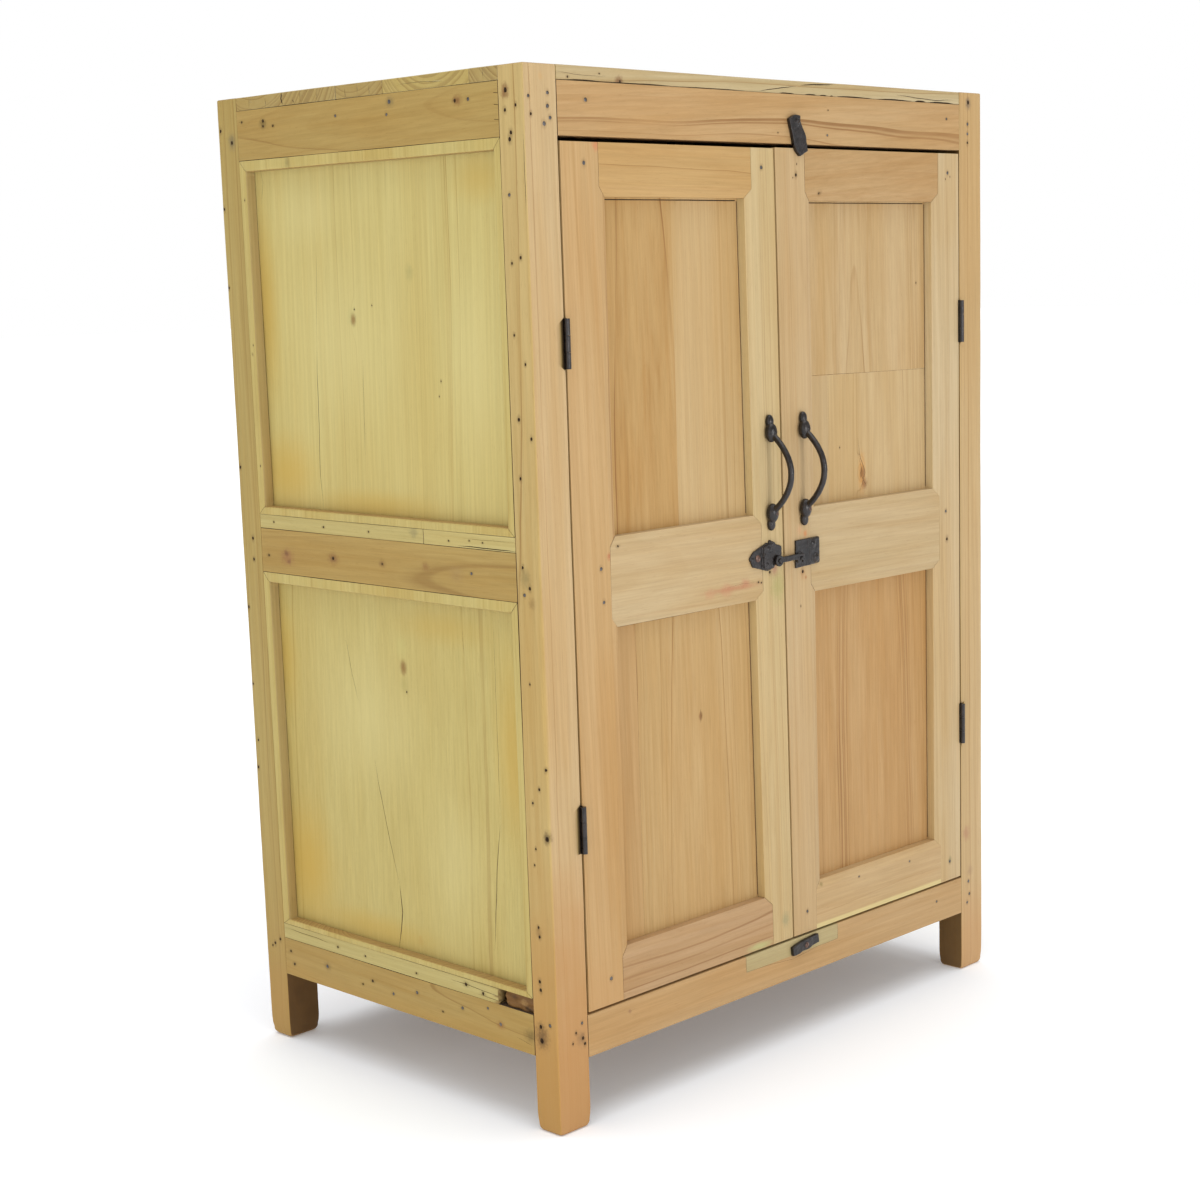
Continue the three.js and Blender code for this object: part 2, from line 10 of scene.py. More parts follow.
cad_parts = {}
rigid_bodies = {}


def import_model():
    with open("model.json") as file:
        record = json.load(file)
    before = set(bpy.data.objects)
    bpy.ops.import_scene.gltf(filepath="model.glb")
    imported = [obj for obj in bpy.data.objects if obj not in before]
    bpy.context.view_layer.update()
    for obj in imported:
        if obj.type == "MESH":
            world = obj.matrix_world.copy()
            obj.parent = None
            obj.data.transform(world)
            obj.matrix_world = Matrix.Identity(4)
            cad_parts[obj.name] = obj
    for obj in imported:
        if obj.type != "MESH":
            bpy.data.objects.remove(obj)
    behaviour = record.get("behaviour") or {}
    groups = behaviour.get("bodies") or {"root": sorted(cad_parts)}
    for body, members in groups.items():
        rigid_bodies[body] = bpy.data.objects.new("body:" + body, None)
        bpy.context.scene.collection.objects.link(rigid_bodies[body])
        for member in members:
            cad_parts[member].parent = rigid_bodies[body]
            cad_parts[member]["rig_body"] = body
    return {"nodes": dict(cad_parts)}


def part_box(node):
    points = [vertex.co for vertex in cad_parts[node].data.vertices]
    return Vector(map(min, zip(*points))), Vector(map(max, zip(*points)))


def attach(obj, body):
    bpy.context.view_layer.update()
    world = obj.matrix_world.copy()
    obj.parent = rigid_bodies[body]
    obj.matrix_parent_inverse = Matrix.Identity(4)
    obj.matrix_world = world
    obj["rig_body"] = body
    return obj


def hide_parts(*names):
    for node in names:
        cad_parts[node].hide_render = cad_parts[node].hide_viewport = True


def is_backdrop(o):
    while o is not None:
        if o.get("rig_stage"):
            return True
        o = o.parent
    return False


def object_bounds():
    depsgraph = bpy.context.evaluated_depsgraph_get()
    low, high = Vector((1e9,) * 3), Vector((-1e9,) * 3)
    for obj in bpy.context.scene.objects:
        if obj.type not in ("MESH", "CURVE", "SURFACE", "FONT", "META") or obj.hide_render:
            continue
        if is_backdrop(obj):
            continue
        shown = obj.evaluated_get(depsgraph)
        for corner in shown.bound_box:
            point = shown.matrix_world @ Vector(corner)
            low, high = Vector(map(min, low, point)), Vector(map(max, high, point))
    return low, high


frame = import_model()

CAD_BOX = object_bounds()
NODES = frame["nodes"]
BODY = {n: o["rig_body"] for n, o in NODES.items()}
SLOT = {}
scene = bpy.context.scene

# The CAD is drawn in millimetres about the middle of the carcass, and moved back
# by this much. P() and the lists below use the carcass-centred millimetres.
SHIFT = 19.65
FRONT, SIDE = -276.0, -414.5


def P(x, y, z):
    return Vector((x / 1000, (y + SHIFT) / 1000, z / 1000))


def lin(c):
    return tuple((v / 255 / 12.92) if v / 255 <= 0.04045 else ((v / 255 + 0.055) / 1.055) ** 2.4 for v in c)


# ------------------------------------------------------------------- camera
def make_camera():
    az, el, roll = (math.radians(a) for a in (46.167, 9.88, -1.565))
    f = Vector((math.sin(az) * math.cos(el), math.cos(az) * math.cos(el), -math.sin(el)))
    r = f.cross(Vector((0, 0, 1))).normalized()
    u = r.cross(f)
    r2 = r * math.cos(roll) + u * math.sin(roll)
    u2 = -r * math.sin(roll) + u * math.cos(roll)
    cam = bpy.data.cameras.new("camera")
    cam.sensor_fit = "HORIZONTAL"
    cam.sensor_width = 36
    cam.lens = 64.665
    cam.shift_x, cam.shift_y = -0.05, 0.0417
    cam.clip_start, cam.clip_end = 0.05, 200
    o = bpy.data.objects.new("camera", cam)
    scene.collection.objects.link(o)
    m = Matrix.Identity(4)
    for i in range(3):
        m[i][0], m[i][1], m[i][2] = r2[i], u2[i], -f[i]
    m.translation = P(-2017.6, -1993.2, 975.0)
    o.matrix_world = m
    scene.camera = o


# -------------------------------------------------------- floor, light, world
def make_stage():
    # the camera sees a white studio; the light it gives is softer than that
    world = bpy.data.worlds.new("studio")
    world.use_nodes = True
    nt = world.node_tree
    lit = nt.nodes["Background"]
    lit.inputs["Color"].default_value = (1, 1, 1, 1)
    lit.inputs["Strength"].default_value = 0.55
    seen = nt.nodes.new("ShaderNodeBackground")
    seen.inputs["Color"].default_value = (1, 1, 1, 1)
    seen.inputs["Strength"].default_value = 1.0
    mix = nt.nodes.new("ShaderNodeMixShader")
    nt.links.new(nt.nodes.new("ShaderNodeLightPath").outputs["Is Camera Ray"], mix.inputs[0])
    nt.links.new(lit.outputs[0], mix.inputs[1])
    nt.links.new(seen.outputs[0], mix.inputs[2])
    nt.links.new(mix.outputs[0], nt.nodes["World Output"].inputs[0])
    scene.world = world
    m = bpy.data.materials.new("floor")
    m.use_nodes = True
    b = m.node_tree.nodes["Principled BSDF"]
    b.inputs["Base Color"].default_value = (0.895, 0.92, 0.955, 1)
    b.inputs["Roughness"].default_value = 0.9
    b.inputs["Specular IOR Level"].default_value = 0.1
    b.inputs["Emission Color"].default_value = (1, 1, 1, 1)
    b.inputs["Emission Strength"].default_value = 0.11
    me = bpy.data.meshes.new("floor")
    s = 40
    me.from_pydata([(-s, -s, 0), (s, -s, 0), (s, s, 0), (-s, s, 0)], [], [(0, 1, 2, 3)])
    me.materials.append(m)
    floor = bpy.data.objects.new("floor", me)
    scene.collection.objects.link(floor)
    floor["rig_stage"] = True

    def area(name, at, to, size, energy, color=(1, 1, 1)):
        l = bpy.data.lights.new(name, "AREA")
        l.shape = "SQUARE"
        l.size = size
        l.energy = energy
        l.color = color
        o = bpy.data.objects.new(name, l)
        scene.collection.objects.link(o)
        o.location = at
        o.rotation_euler = (Vector(to) - Vector(at)).to_track_quat("-Z", "Y").to_euler()
        return o

    area("front_box", (-0.2, -4.2, 0.9), (0, 0, 0.72), 0.6, 42)
    area("left_box", (-3.2, -1.4, 1.3), (-0.2, 0, 0.6), 2.6, 17, (1.0, 0.96, 0.88))
    l = bpy.data.lights.new("overhead", "SUN")
    l.energy = 2.0
    l.angle = math.radians(70)
    o = bpy.data.objects.new("overhead", l)
    scene.collection.objects.link(o)
    o.location = (0, 0, 4)


# ------------------------------------------------------------ node tree tools
class Tree:
    def __init__(self, tree):
        self.t = tree
        self.x = 0

    def new(self, kind, **props):
        n = self.t.nodes.new(kind)
        for k, v in props.items():
            setattr(n, k, v)
        self.x += 30
        n.location = (self.x, 0)
        return n

    def put(self, socket, v):
        if isinstance(v, bpy.types.NodeSocket):
            self.t.links.new(v, socket)
        else:
            socket.default_value = v

    def math(self, op, a, b=0.0, clamp=False):
        n = self.new("ShaderNodeMath", operation=op, use_clamp=clamp)
        self.put(n.inputs[0], a)
        self.put(n.inputs[1], b)
        return n.outputs[0]

    def vec(self, op, a, b=(0, 0, 0)):
        n = self.new("ShaderNodeVectorMath", operation=op)
        self.put(n.inputs[0], a)
        self.put(n.inputs[1], b)
        return n.outputs["Value"] if op in ("LENGTH", "DOT_PRODUCT", "DISTANCE") else n.outputs[0]

    def xyz(self, x, y, z):
        n = self.new("ShaderNodeCombineXYZ")
        for i, v in enumerate((x, y, z)):
            self.put(n.inputs[i], v)
        return n.outputs[0]

    def sep(self, v):
        n = self.new("ShaderNodeSeparateXYZ")
        self.put(n.inputs[0], v)
        return n.outputs

    def noise(self, v, scale=1.0, detail=2.0, rough=0.5, dim="3D", distort=0.0, out="Fac"):
        n = self.new("ShaderNodeTexNoise", noise_dimensions=dim)
        self.put(n.inputs["W" if dim == "1D" else "Vector"], v)
        n.inputs["Scale"].default_value = scale
        n.inputs["Detail"].default_value = detail
        n.inputs["Roughness"].default_value = rough
        n.inputs["Distortion"].default_value = distort
        return n.outputs[out] if out in n.outputs else n.outputs[0]

    def step(self, v, a, b, lo=0.0, hi=1.0):
        n = self.new("ShaderNodeMapRange", interpolation_type="SMOOTHSTEP")
        for name, val in (("Value", v), ("From Min", a), ("From Max", b), ("To Min", lo), ("To Max", hi)):
            self.put(n.inputs[name], val)
        return n.outputs[0]

    def mix(self, f, a, b, mode="MIX"):
        n = self.new("ShaderNodeMix", data_type="RGBA", blend_type=mode)
        self.put(n.inputs[0], f)
        for s, v in ((n.inputs[6], a), (n.inputs[7], b)):
            if not isinstance(v, bpy.types.NodeSocket) and len(v) == 3:
                v = (*v, 1)
            self.put(s, v)
        return n.outputs[2]

    def group(self, tree, **inputs):
        n = self.new("ShaderNodeGroup", node_tree=tree)
        for k, v in inputs.items():
            self.put(n.inputs[k], v)
        return n.outputs


def group(name, inputs, outputs):
    g = bpy.data.node_groups.new(name, "ShaderNodeTree")
    for n, kind, default in inputs:
        s = g.interface.new_socket(n, in_out="INPUT", socket_type=kind)
        if default is not None:
            s.default_value = default
    for n, kind in outputs:
        g.interface.new_socket(n, in_out="OUTPUT", socket_type=kind)
    t = Tree(g)
    return g, t, t.new("NodeGroupInput").outputs, t.new("NodeGroupOutput").inputs


# ------------------------------------------------------------------ pine wood
# "At" is the place in the board, in metres: X along the grain, the pith of the
# tree on the line Y = Z = 0, so growth rings are circles round it, and a face
# of the board cuts them as the plain-sawn or straight lines of a real board.
def pine_group():
    F, C, V = "NodeSocketFloat", "NodeSocketColor", "NodeSocketVector"
    g, t, i, o = group("pine", [
        ("At", V, None), ("Seed", F, 0.0), ("Base", C, None), ("Pale", C, None), ("Warm", C, None), ("Deep", C, None), ("Line", C, None),
        ("Spacing", F, 0.006), ("Lines", F, 0.5), ("Figure", F, 0.018), ("Streak", F, 0.5), ("Mottle", F, 0.5), ("Flow", F, 0.0), ("End", F, 0.0),
    ], [("Color", C), ("Rough", F), ("Height", F)])
    at = i["At"]
    x, y, z = t.sep(at)
    seed = i["Seed"]
    off = t.xyz(t.math("MULTIPLY", seed, 3.17), t.math("MULTIPLY", seed, 1.73), t.math("MULTIPLY", seed, 2.31))
    s = t.vec("ADD", at, off)

    def stretched(kx, ky, detail=2.0, rough=0.5, out="Fac"):
        return t.noise(t.vec("MULTIPLY", s, (kx, ky, ky)), 1.0, detail, rough, out=out)

    # slow wander of the rings, with a finer tremble on top
    w1 = t.sep(t.vec("SUBTRACT", stretched(1.9, 6.5, 2.0, 0.45, "Color"), (0.5, 0.5, 0.5)))
    w2 = t.sep(t.vec("SUBTRACT", stretched(9.0, 42.0, 2.0, 0.5, "Color"), (0.5, 0.5, 0.5)))
    fig = i["Figure"]
    y2 = t.math("ADD", t.math("ADD", y, t.math("MULTIPLY", w1[0], fig)), t.math("MULTIPLY", w2[0], 0.0016))
    z2 = t.math("ADD", t.math("ADD", z, t.math("MULTIPLY", w1[1], fig)), t.math("MULTIPLY", w2[1], 0.0016))
    r = t.math("SQRT", t.math("ADD", t.math("MULTIPLY", y2, y2), t.math("MULTIPLY", z2, z2)))
    r = t.math("ADD", r, i["Flow"])
    # rings of uneven width and strength
    jitter = t.noise(t.math("ADD", r, seed), 55.0, 2.0, 0.6, dim="1D")
    k = t.math("ADD", t.math("DIVIDE", r, i["Spacing"]), t.math("MULTIPLY", jitter, 3.2))
    ring = t.math("FLOOR", k)
    f = t.math("SUBTRACT", k, ring)
    wn = t.new("ShaderNodeTexWhiteNoise", noise_dimensions="1D")
    t.put(wn.inputs["W"], t.math("ADD", ring, t.math("MULTIPLY", seed, 17.3)))
    strong = t.math("POWER", wn.outputs["Value"], 2.2)
    late = t.math("MULTIPLY", t.step(f, 0.25, 0.93), t.step(f, 1.0, 0.955))
    thin = t.math("MULTIPLY", t.step(f, 0.80, 0.90), t.step(f, 1.0, 0.94))
    fade = t.step(stretched(2.6, 16.0, 2.0), 0.30, 0.62)
    band = t.math("MULTIPLY", t.math("MULTIPLY", late, t.math("ADD", t.math("MULTIPLY", strong, 0.75), 0.12)), i["Lines"])
    hair = t.math("MULTIPLY", t.math("MULTIPLY", thin, t.step(wn.outputs["Value"], 0.62, 0.95)), t.math("MULTIPLY", fade, i["Lines"]))
    # colour drifting along and across the board
    blotch = t.step(stretched(2.6, 7.0, 3.0, 0.5), 0.36, 0.66)
    tone = t.step(t.noise(t.vec("ADD", t.vec("MULTIPLY", s, (1.3, 20.0, 20.0)), (7.1, 3.3, 9.2)), 1.0, 3.0, 0.55), 0.36, 0.68)
    streak = stretched(1.6, 95.0, 4.0, 0.62)
    fibre = stretched(14.0, 640.0, 3.0, 0.6)
    flame = t.step(t.noise(t.vec("ADD", t.vec("MULTIPLY", s, (3.6, 34.0, 34.0)), (2.4, 8.8, 5.1)), 1.0, 4.0, 0.6, distort=0.6), 0.52, 0.80)
    c = t.mix(t.math("MULTIPLY", blotch, i["Mottle"]), i["Base"], i["Warm"])
    c = t.mix(t.math("MULTIPLY", tone, t.math("MULTIPLY", i["Mottle"], 0.8)), c, i["Pale"])
    c = t.mix(t.math("MULTIPLY", t.step(streak, 0.46, 0.78), t.math("MULTIPLY", i["Streak"], 0.72)), c, i["Deep"])
    c = t.mix(t.math("MULTIPLY", flame, t.math("MULTIPLY", i["Streak"], 0.50)), c, i["Deep"])
    c = t.mix(t.math("MULTIPLY", band, 0.62), c, i["Deep"])
    c = t.mix(t.math("MULTIPLY", hair, 1.25, True), c, i["Line"])
    # open pores: short dark dashes along the fibres
    pores = t.math("MULTIPLY", t.step(stretched(70.0, 2100.0, 1.0, 0.5), 0.66, 0.76), 0.30)
    c = t.mix(pores, c, i["Line"])
    c = t.mix(1.0, c, t.mix(fibre, (0.88, 0.88, 0.86), (1.11, 1.11, 1.12)), "MULTIPLY")
    combed = t.step(stretched(2.6, 230.0, 3.0, 0.6), 0.30, 0.70)
    c = t.mix(1.0, c, t.mix(combed, (0.952, 0.942, 0.92), (1.045, 1.052, 1.07)), "MULTIPLY")
    c = t.mix(t.math("MULTIPLY", i["End"], 0.72), c, t.mix(t.math("MULTIPLY", late, 0.8), i["Deep"], i["Line"]))
    t.put(o["Color"], c)
    rough = t.math("ADD", 0.50, t.math("MULTIPLY", streak, 0.22))
    t.put(o["Rough"], t.math("ADD", rough, t.math("MULTIPLY", pores, 0.3)))
    h = t.math("ADD", t.math("MULTIPLY", fibre, 0.35), t.math("MULTIPLY", band, 0.5))
    h = t.math("SUBTRACT", h, t.math("MULTIPLY", pores, 1.2))
    h = t.math("ADD", h, t.math("MULTIPLY", t.noise(s, 120.0, 2.0), 0.4))
    t.put(o["Height"], h)
    return g


# a soft-edged spot: 1 at the centre, 0 outside the radii, with a ragged rim
def mark_group():
    F, V = "NodeSocketFloat", "NodeSocketVector"
    g, t, i, o = group("mark", [("At", V, None), ("Centre", V, None), ("Radii", V, (0.01, 0.01, 0.01)), ("Rag", F, 0.5), ("Core", F, 0.2)], [("Fac", F), ("Dist", F)])
    n = t.new("ShaderNodeVectorMath", operation="DIVIDE")
    t.put(n.inputs[0], t.vec("SUBTRACT", i["At"], i["Centre"]))
    t.put(n.inputs[1], i["Radii"])
    d = t.vec("LENGTH", n.outputs[0])
    rag = t.math("SUBTRACT", t.noise(i["At"], 260.0, 3.0, 0.6), 0.5)
    d2 = t.math("ADD", d, t.math("MULTIPLY", rag, i["Rag"]))
    t.put(o["Fac"], t.step(d2, 1.0, i["Core"]))
    t.put(o["Dist"], d)
    return g


PINE = pine_group()
MARK = mark_group()
AXIS = {"x": 0, "y": 1, "z": 2}
WOOD_GAIN = (0.785, 0.775, 0.76)


def tint(c, k):
    return tuple(min(max(a * b, 0.0), 1.0) for a, b in zip(c, k))


# axes: grain axis, width axis, thickness axis. marks: (centre mm, radii mm, colour, strength, core, rag)
# knots: (centre mm, radius mm). grads: (axis, mm at 0, mm at 1, colour, strength)
def wood(name, color, axes, centre, seed, pith=(0.0, 60.0), tilt=(0.0, 0.0), spacing=6.0, lines=0.5, figure=18.0, streak=0.5,
         mottle=0.5, marks=(), knots=(), grads=(), bump=0.35, painted_side_light=None, inner=()):
    m = bpy.data.materials.new(name)
    m.use_nodes = True
    t = Tree(m.node_tree)
    bsdf = m.node_tree.nodes["Principled BSDF"]
    base = tint(lin(color), WOOD_GAIN)
    tc = t.new("ShaderNodeTexCoord")
    at = tc.outputs["Object"]
    s = t.sep(t.vec("SUBTRACT", at, tuple(P(*centre))))
    p = t.xyz(*(s[AXIS[a]] for a in axes))
    mp = t.new("ShaderNodeMapping", vector_type="POINT")
    t.put(mp.inputs["Vector"], p)
    mp.inputs["Rotation"].default_value = (0, math.radians(tilt[0]), math.radians(tilt[1]))
    mp.inputs["Location"].default_value = (0, -pith[0] / 1000, -pith[1] / 1000)
    flow = None
    for kc, kr in knots:
        n = t.group(MARK, At=at, Centre=tuple(P(*kc)), Radii=tuple(
            kr / 1000 * (5.0 if "xyz"[i] == axes[0] else 2.2) for i in range(3)), Rag=0.0, Core=0.0)
        v = t.math("MULTIPLY", n["Fac"], kr / 1000 * 1.5)
        flow = v if flow is None else t.math("ADD", flow, v)
    nrm = t.sep(tc.outputs["Normal"])
    end = t.step(t.math("ABSOLUTE", nrm[AXIS[axes[0]]]), 0.6, 0.9)
    o = t.group(
        PINE, At=mp.outputs[0], Seed=float(seed), Base=(*base, 1), Pale=(*tint(base, (1.10, 1.16, 1.32)), 1), Warm=(*tint(base, (0.95, 0.83, 0.64)), 1),
        Deep=(*tint(base, (0.80, 0.66, 0.46)), 1), Line=(*tint(base, (0.50, 0.34, 0.19)), 1), Spacing=spacing / 1000, Lines=lines,
        Figure=figure / 1000, Streak=streak, Mottle=mottle, Flow=flow if flow is not None else 0.0, End=end)
    c = o["Color"]
    for ax, a, b, gc, st in grads:
        off = SHIFT if ax == "y" else 0
        v = t.sep(at)[AXIS[ax]]
        wob = t.math("MULTIPLY", t.math("SUBTRACT", t.noise(at, 14.0, 2.0), 0.5), abs(b - a) / 1000 * 0.5)
        fgrad = t.step(t.math("ADD", v, wob), (a + off) / 1000, (b + off) / 1000) if a < b else t.math("SUBTRACT", 1.0, t.step(t.math("ADD", v, wob), (b + off) / 1000, (a + off) / 1000))
        c = t.mix(t.math("MULTIPLY", fgrad, st), c, lin(gc), "MULTIPLY" if max(gc) > 254 else "MIX")
    for mc, mr, col, st, core, rag in marks:
        n = t.group(MARK, At=at, Centre=tuple(P(*mc)), Radii=tuple(v / 1000 for v in mr), Rag=float(rag), Core=float(core))
        c = t.mix(t.math("MULTIPLY", n["Fac"], st), c, lin(col))
    for kc, kr in knots:
        n = t.group(MARK, At=at, Centre=tuple(P(*kc)), Radii=tuple(kr / 1000 * (1.5 if "xyz"[i] == axes[0] else 1.0) for i in range(3)), Rag=0.4, Core=0.15)
        c = t.mix(t.math("MULTIPLY", n["Fac"], 0.75), c, (*tint(base, (0.42, 0.24, 0.13)), 1))
    # painted light: faces that look along X (sides, post sides, board ends, stile reveal walls) are multiplied by this
    # tint, so they come out lighter than their wood, as the side light shows them
    if painted_side_light:
        ax = t.step(t.math("ABSOLUTE", nrm[0]), 0.35, 0.85)
        c = t.mix(ax, c, t.mix(1.0, c, painted_side_light, "MULTIPLY"))
    for i, sign in inner:     # faces turned to the inside have kept their old brown stain
        fac = t.step(t.math("MULTIPLY", nrm[i], float(sign)), 0.6, 0.95)
        c = t.mix(t.math("MULTIPLY", fac, 0.86), c, t.mix(t.noise(at, 40.0, 3.0, 0.6), lin((70, 44, 16)), lin((104, 74, 34))))
    m.node_tree.links.new(c, bsdf.inputs["Base Color"])
    m.node_tree.links.new(o["Rough"], bsdf.inputs["Roughness"])
    bsdf.inputs["Specular IOR Level"].default_value = 0.3
    b = t.new("ShaderNodeBump")
    b.inputs["Strength"].default_value = bump
    b.inputs["Distance"].default_value = 0.0006
    m.node_tree.links.new(o["Height"], b.inputs["Height"])
    m.node_tree.links.new(b.outputs[0], bsdf.inputs["Normal"])
    return m


# dark lining of the cut pits and grooves: dirt in the holes, cracks and joints, and painted shade in the shadow lines
# along the door panels
def dark_material():
    m = bpy.data.materials.new("dirt_and_painted_shade")
    m.use_nodes = True
    t = Tree(m.node_tree)
    bsdf = m.node_tree.nodes["Principled BSDF"]
    at = t.new("ShaderNodeTexCoord").outputs["Object"]
    n = t.noise(at, 300.0, 3.0, 0.6)
    m.node_tree.links.new(t.mix(n, lin((34, 24, 14)), lin((84, 60, 36))), bsdf.inputs["Base Color"])
    bsdf.inputs["Roughness"].default_value = 0.9
    return m


def iron_material(name, rust=0.35, base=(17, 13, 12), light=(36, 30, 28)):
    m = bpy.data.materials.new(name)
    m.use_nodes = True
    t = Tree(m.node_tree)
    bsdf = m.node_tree.nodes["Principled BSDF"]
    at = t.new("ShaderNodeTexCoord").outputs["Object"]
    big = t.noise(at, 70.0, 4.0, 0.6)
    fine = t.noise(at, 420.0, 4.0, 0.65)
    grain = t.noise(at, 1500.0, 2.0, 0.5)
    c = t.mix(t.step(big, 0.38, 0.66), lin(base), lin(light))
    r = t.math("MULTIPLY", t.step(fine, 0.50, 0.68), rust)
    c = t.mix(r, c, lin((66, 40, 28)))
    c = t.mix(t.math("MULTIPLY", t.step(grain, 0.62, 0.75), 0.35), c, lin((26, 20, 18)))
    m.node_tree.links.new(c, bsdf.inputs["Base Color"])
    bsdf.inputs["Metallic"].default_value = 0.2
    bsdf.inputs["Specular IOR Level"].default_value = 0.6
    m.node_tree.links.new(t.math("ADD", 0.18, t.math("MULTIPLY", fine, 0.26)), bsdf.inputs["Roughness"])
    b = t.new("ShaderNodeBump")
    b.inputs["Strength"].default_value = 0.6
    b.inputs["Distance"].default_value = 0.0006
    h = t.math("ADD", t.math("MULTIPLY", big, 1.4), t.math("ADD", t.math("MULTIPLY", fine, 0.8), t.math("MULTIPLY", grain, 0.25)))
    m.node_tree.links.new(h, b.inputs["Height"])
    m.node_tree.links.new(b.outputs[0], bsdf.inputs["Normal"])
    return m


DARK = dark_material()
IRON = iron_material("forged_iron", 0.30)
NAIL = iron_material("nail_iron", 0.25, (66, 62, 60), (98, 94, 92))
RUSTY = iron_material("rusty_screw", 0.9, (74, 48, 38), (112, 80, 66))


# ------------------------------------------------------------- mesh tools
def source(node):
    bm = bmesh.new()
    bm.from_mesh(NODES[node].data)
    bmesh.ops.remove_doubles(bm, verts=bm.verts, dist=4e-6)
    bmesh.ops.dissolve_limit(bm, angle_limit=math.radians(0.5), verts=bm.verts, edges=bm.edges)
    return bm


def all_tree():
    verts, polys, owner = [], [], []
    for n, o in NODES.items():
        base = len(verts)
        verts += [v.co.copy() for v in o.data.vertices]
        for p in o.data.polygons:
            polys.append([base + i for i in p.vertices])
            owner.append(n)
    return BVHTree.FromPolygons(verts, polys), owner


TREE, OWNER = all_tree()


def near_other(p, node, dist=0.0014):
    return any(OWNER[i] != node for _, _, i, _ in TREE.find_nearest_range(p, dist))


def evaluated(obj):
    dg = bpy.context.evaluated_depsgraph_get()
    me = bpy.data.meshes.new_from_object(obj.evaluated_get(dg), preserve_all_data_layers=True, depsgraph=dg)
    return me


def temp(bm_or_mesh, name="temp"):
    if isinstance(bm_or_mesh, bmesh.types.BMesh):
        me = bpy.data.meshes.new(name)
        bm_or_mesh.to_mesh(me)
    else:
        me = bm_or_mesh
    o = bpy.data.objects.new(name, me)
    scene.collection.objects.link(o)
    return o


def drop(o):
    me = o.data
    bpy.data.objects.remove(o)
    if me.users == 0:
        bpy.data.meshes.remove(me)


def bevelled(bm, node, tight, free, soft, segments=2, foot=None):
    layer = bm.edges.layers.float.get("bevel_weight_edge") or bm.edges.layers.float.new("bevel_weight_edge")
    wmax = max(tight, free, soft, foot or 0)
    foot_y = P(0, FRONT + 3.0, 0).y
    for e in bm.edges:
        if len(e.link_faces) != 2:
            continue
        a = e.calc_face_angle_signed(0.0)
        if a > math.radians(24):
            pts = [e.verts[0].co.lerp(e.verts[1].co, k) for k in (0.1, 0.3, 0.5, 0.7, 0.9)]
            near = sum(near_other(p, node) for p in pts)
            w = tight if near >= 3 else free
            if foot and near < 3 and all(abs(v.co.y - foot_y) < 0.0004 for v in e.verts):
                w = foot
            e[layer] = w / wmax
        elif a > math.radians(6):
            e[layer] = soft / wmax
    o = temp(bm)
    mod = o.modifiers.new("bevel", "BEVEL")
    mod.offset_type = "OFFSET"
    mod.width = wmax / 1000
    mod.limit_method = "WEIGHT"
    mod.segments = segments
    mod.use_clamp_overlap = True
    me = evaluated(o)
    drop(o)
    out = bmesh.new()
    out.from_mesh(me)
    bpy.data.meshes.remove(me)
    return out


def sliced(bm, steps):
    lo = Vector([min(v.co[i] for v in bm.verts) for i in range(3)])
    hi = Vector([max(v.co[i] for v in bm.verts) for i in range(3)])
    for i, st in enumerate(steps):
        if not st:
            continue
        n = max(1, round((hi[i] - lo[i]) / (st / 1000)))
        no = Vector((0, 0, 0))
        no[i] = 1
        for k in range(1, n):
            co = Vector(lo)
            co[i] = lo[i] + (hi[i] - lo[i]) * k / n
            bmesh.ops.bisect_plane(bm, geom=bm.verts[:] + bm.edges[:] + bm.faces[:], dist=1e-6, plane_co=co, plane_no=no)
    return bm


def wavy(bm, seed, amp, grain, fine=0.06, wave=0.11):
    off = Vector((seed * 3.7 + 0.3, seed * 1.9 + 0.7, seed * 5.3 + 0.1))
    for v in bm.verts:
        q = v.co / wave
        q[AXIS[grain]] *= 0.45
        d = noise.noise_vector(q + off) * (amp / 1000)
        q2 = v.co / 0.022
        q2[AXIS[grain]] *= 0.5
        d += noise.noise_vector(q2 + off) * (fine / 1000)
        v.co += d
    return bm


def merge(dst, src):
    me = bpy.data.meshes.new("m")
    src.to_mesh(me)
    dst.from_mesh(me)
    bpy.data.meshes.remove(me)


# small pit, a cone with a few sides, sunk into a face that looks along `out`
def pit(bm, at, out, r, depth=None, stretch=1.0, along=None, seed=0):
    out = Vector(out).normalized()
    up = Vector(along) if along else (Vector((0, 0, 1)) if abs(out.z) < 0.9 else Vector((1, 0, 0)))
    sidev = up.cross(out).normalized()
    up = out.cross(sidev)
    depth = (depth or max(1.2, r)) / 1000
    n = 9
    top, mid = [], []
    for k in range(n):
        a = 2 * math.pi * k / n
        jr = 1 + 0.22 * noise.noise(Vector((k * 1.7, seed * 3.1 + at.x * 90, at.z * 90)))
        d = sidev * math.cos(a) * r / 1000 * jr + up * math.sin(a) * r / 1000 * jr * stretch
        top.append(bm.verts.new(at + d * 1.05 + out * 0.0015))
        mid.append(bm.verts.new(at + d * 0.8 - out * depth))
    for k in range(n):
        j = (k + 1) % n
        bm.faces.new((top[k], top[j], mid[j], mid[k]))
    bm.faces.new(list(reversed(top)))
    bm.faces.new(mid)


# V-shaped groove along points; widths in mm, closed solid cutter
def groove(bm, pts, out, width, depth=1.4, taper=True):
    out = Vector(out).normalized()
    n = len(pts)
    rings = []
    for k, p in enumerate(pts):
        a, b = pts[max(k - 1, 0)], pts[min(k + 1, n - 1)]
        d = (b - a).normalized()
        sv = d.cross(out).normalized()
        w = width / 1000 / 2
        if taper:
            u = k / (n - 1)
            w *= max(0.12, min(1.0, 4.2 * u, 4.2 * (1 - u)))
        rings.append([bm.verts.new(p + sv * w + out * 0.001), bm.verts.new(p - sv * w + out * 0.001), bm.verts.new(p - out * depth / 1000)])
    for k in range(n - 1):
        for i in range(3):
            j = (i + 1) % 3
            bm.faces.new((rings[k][i], rings[k][j], rings[k + 1][j], rings[k + 1][i]))
    bm.faces.new(list(reversed(rings[0])))
    bm.faces.new(rings[-1])


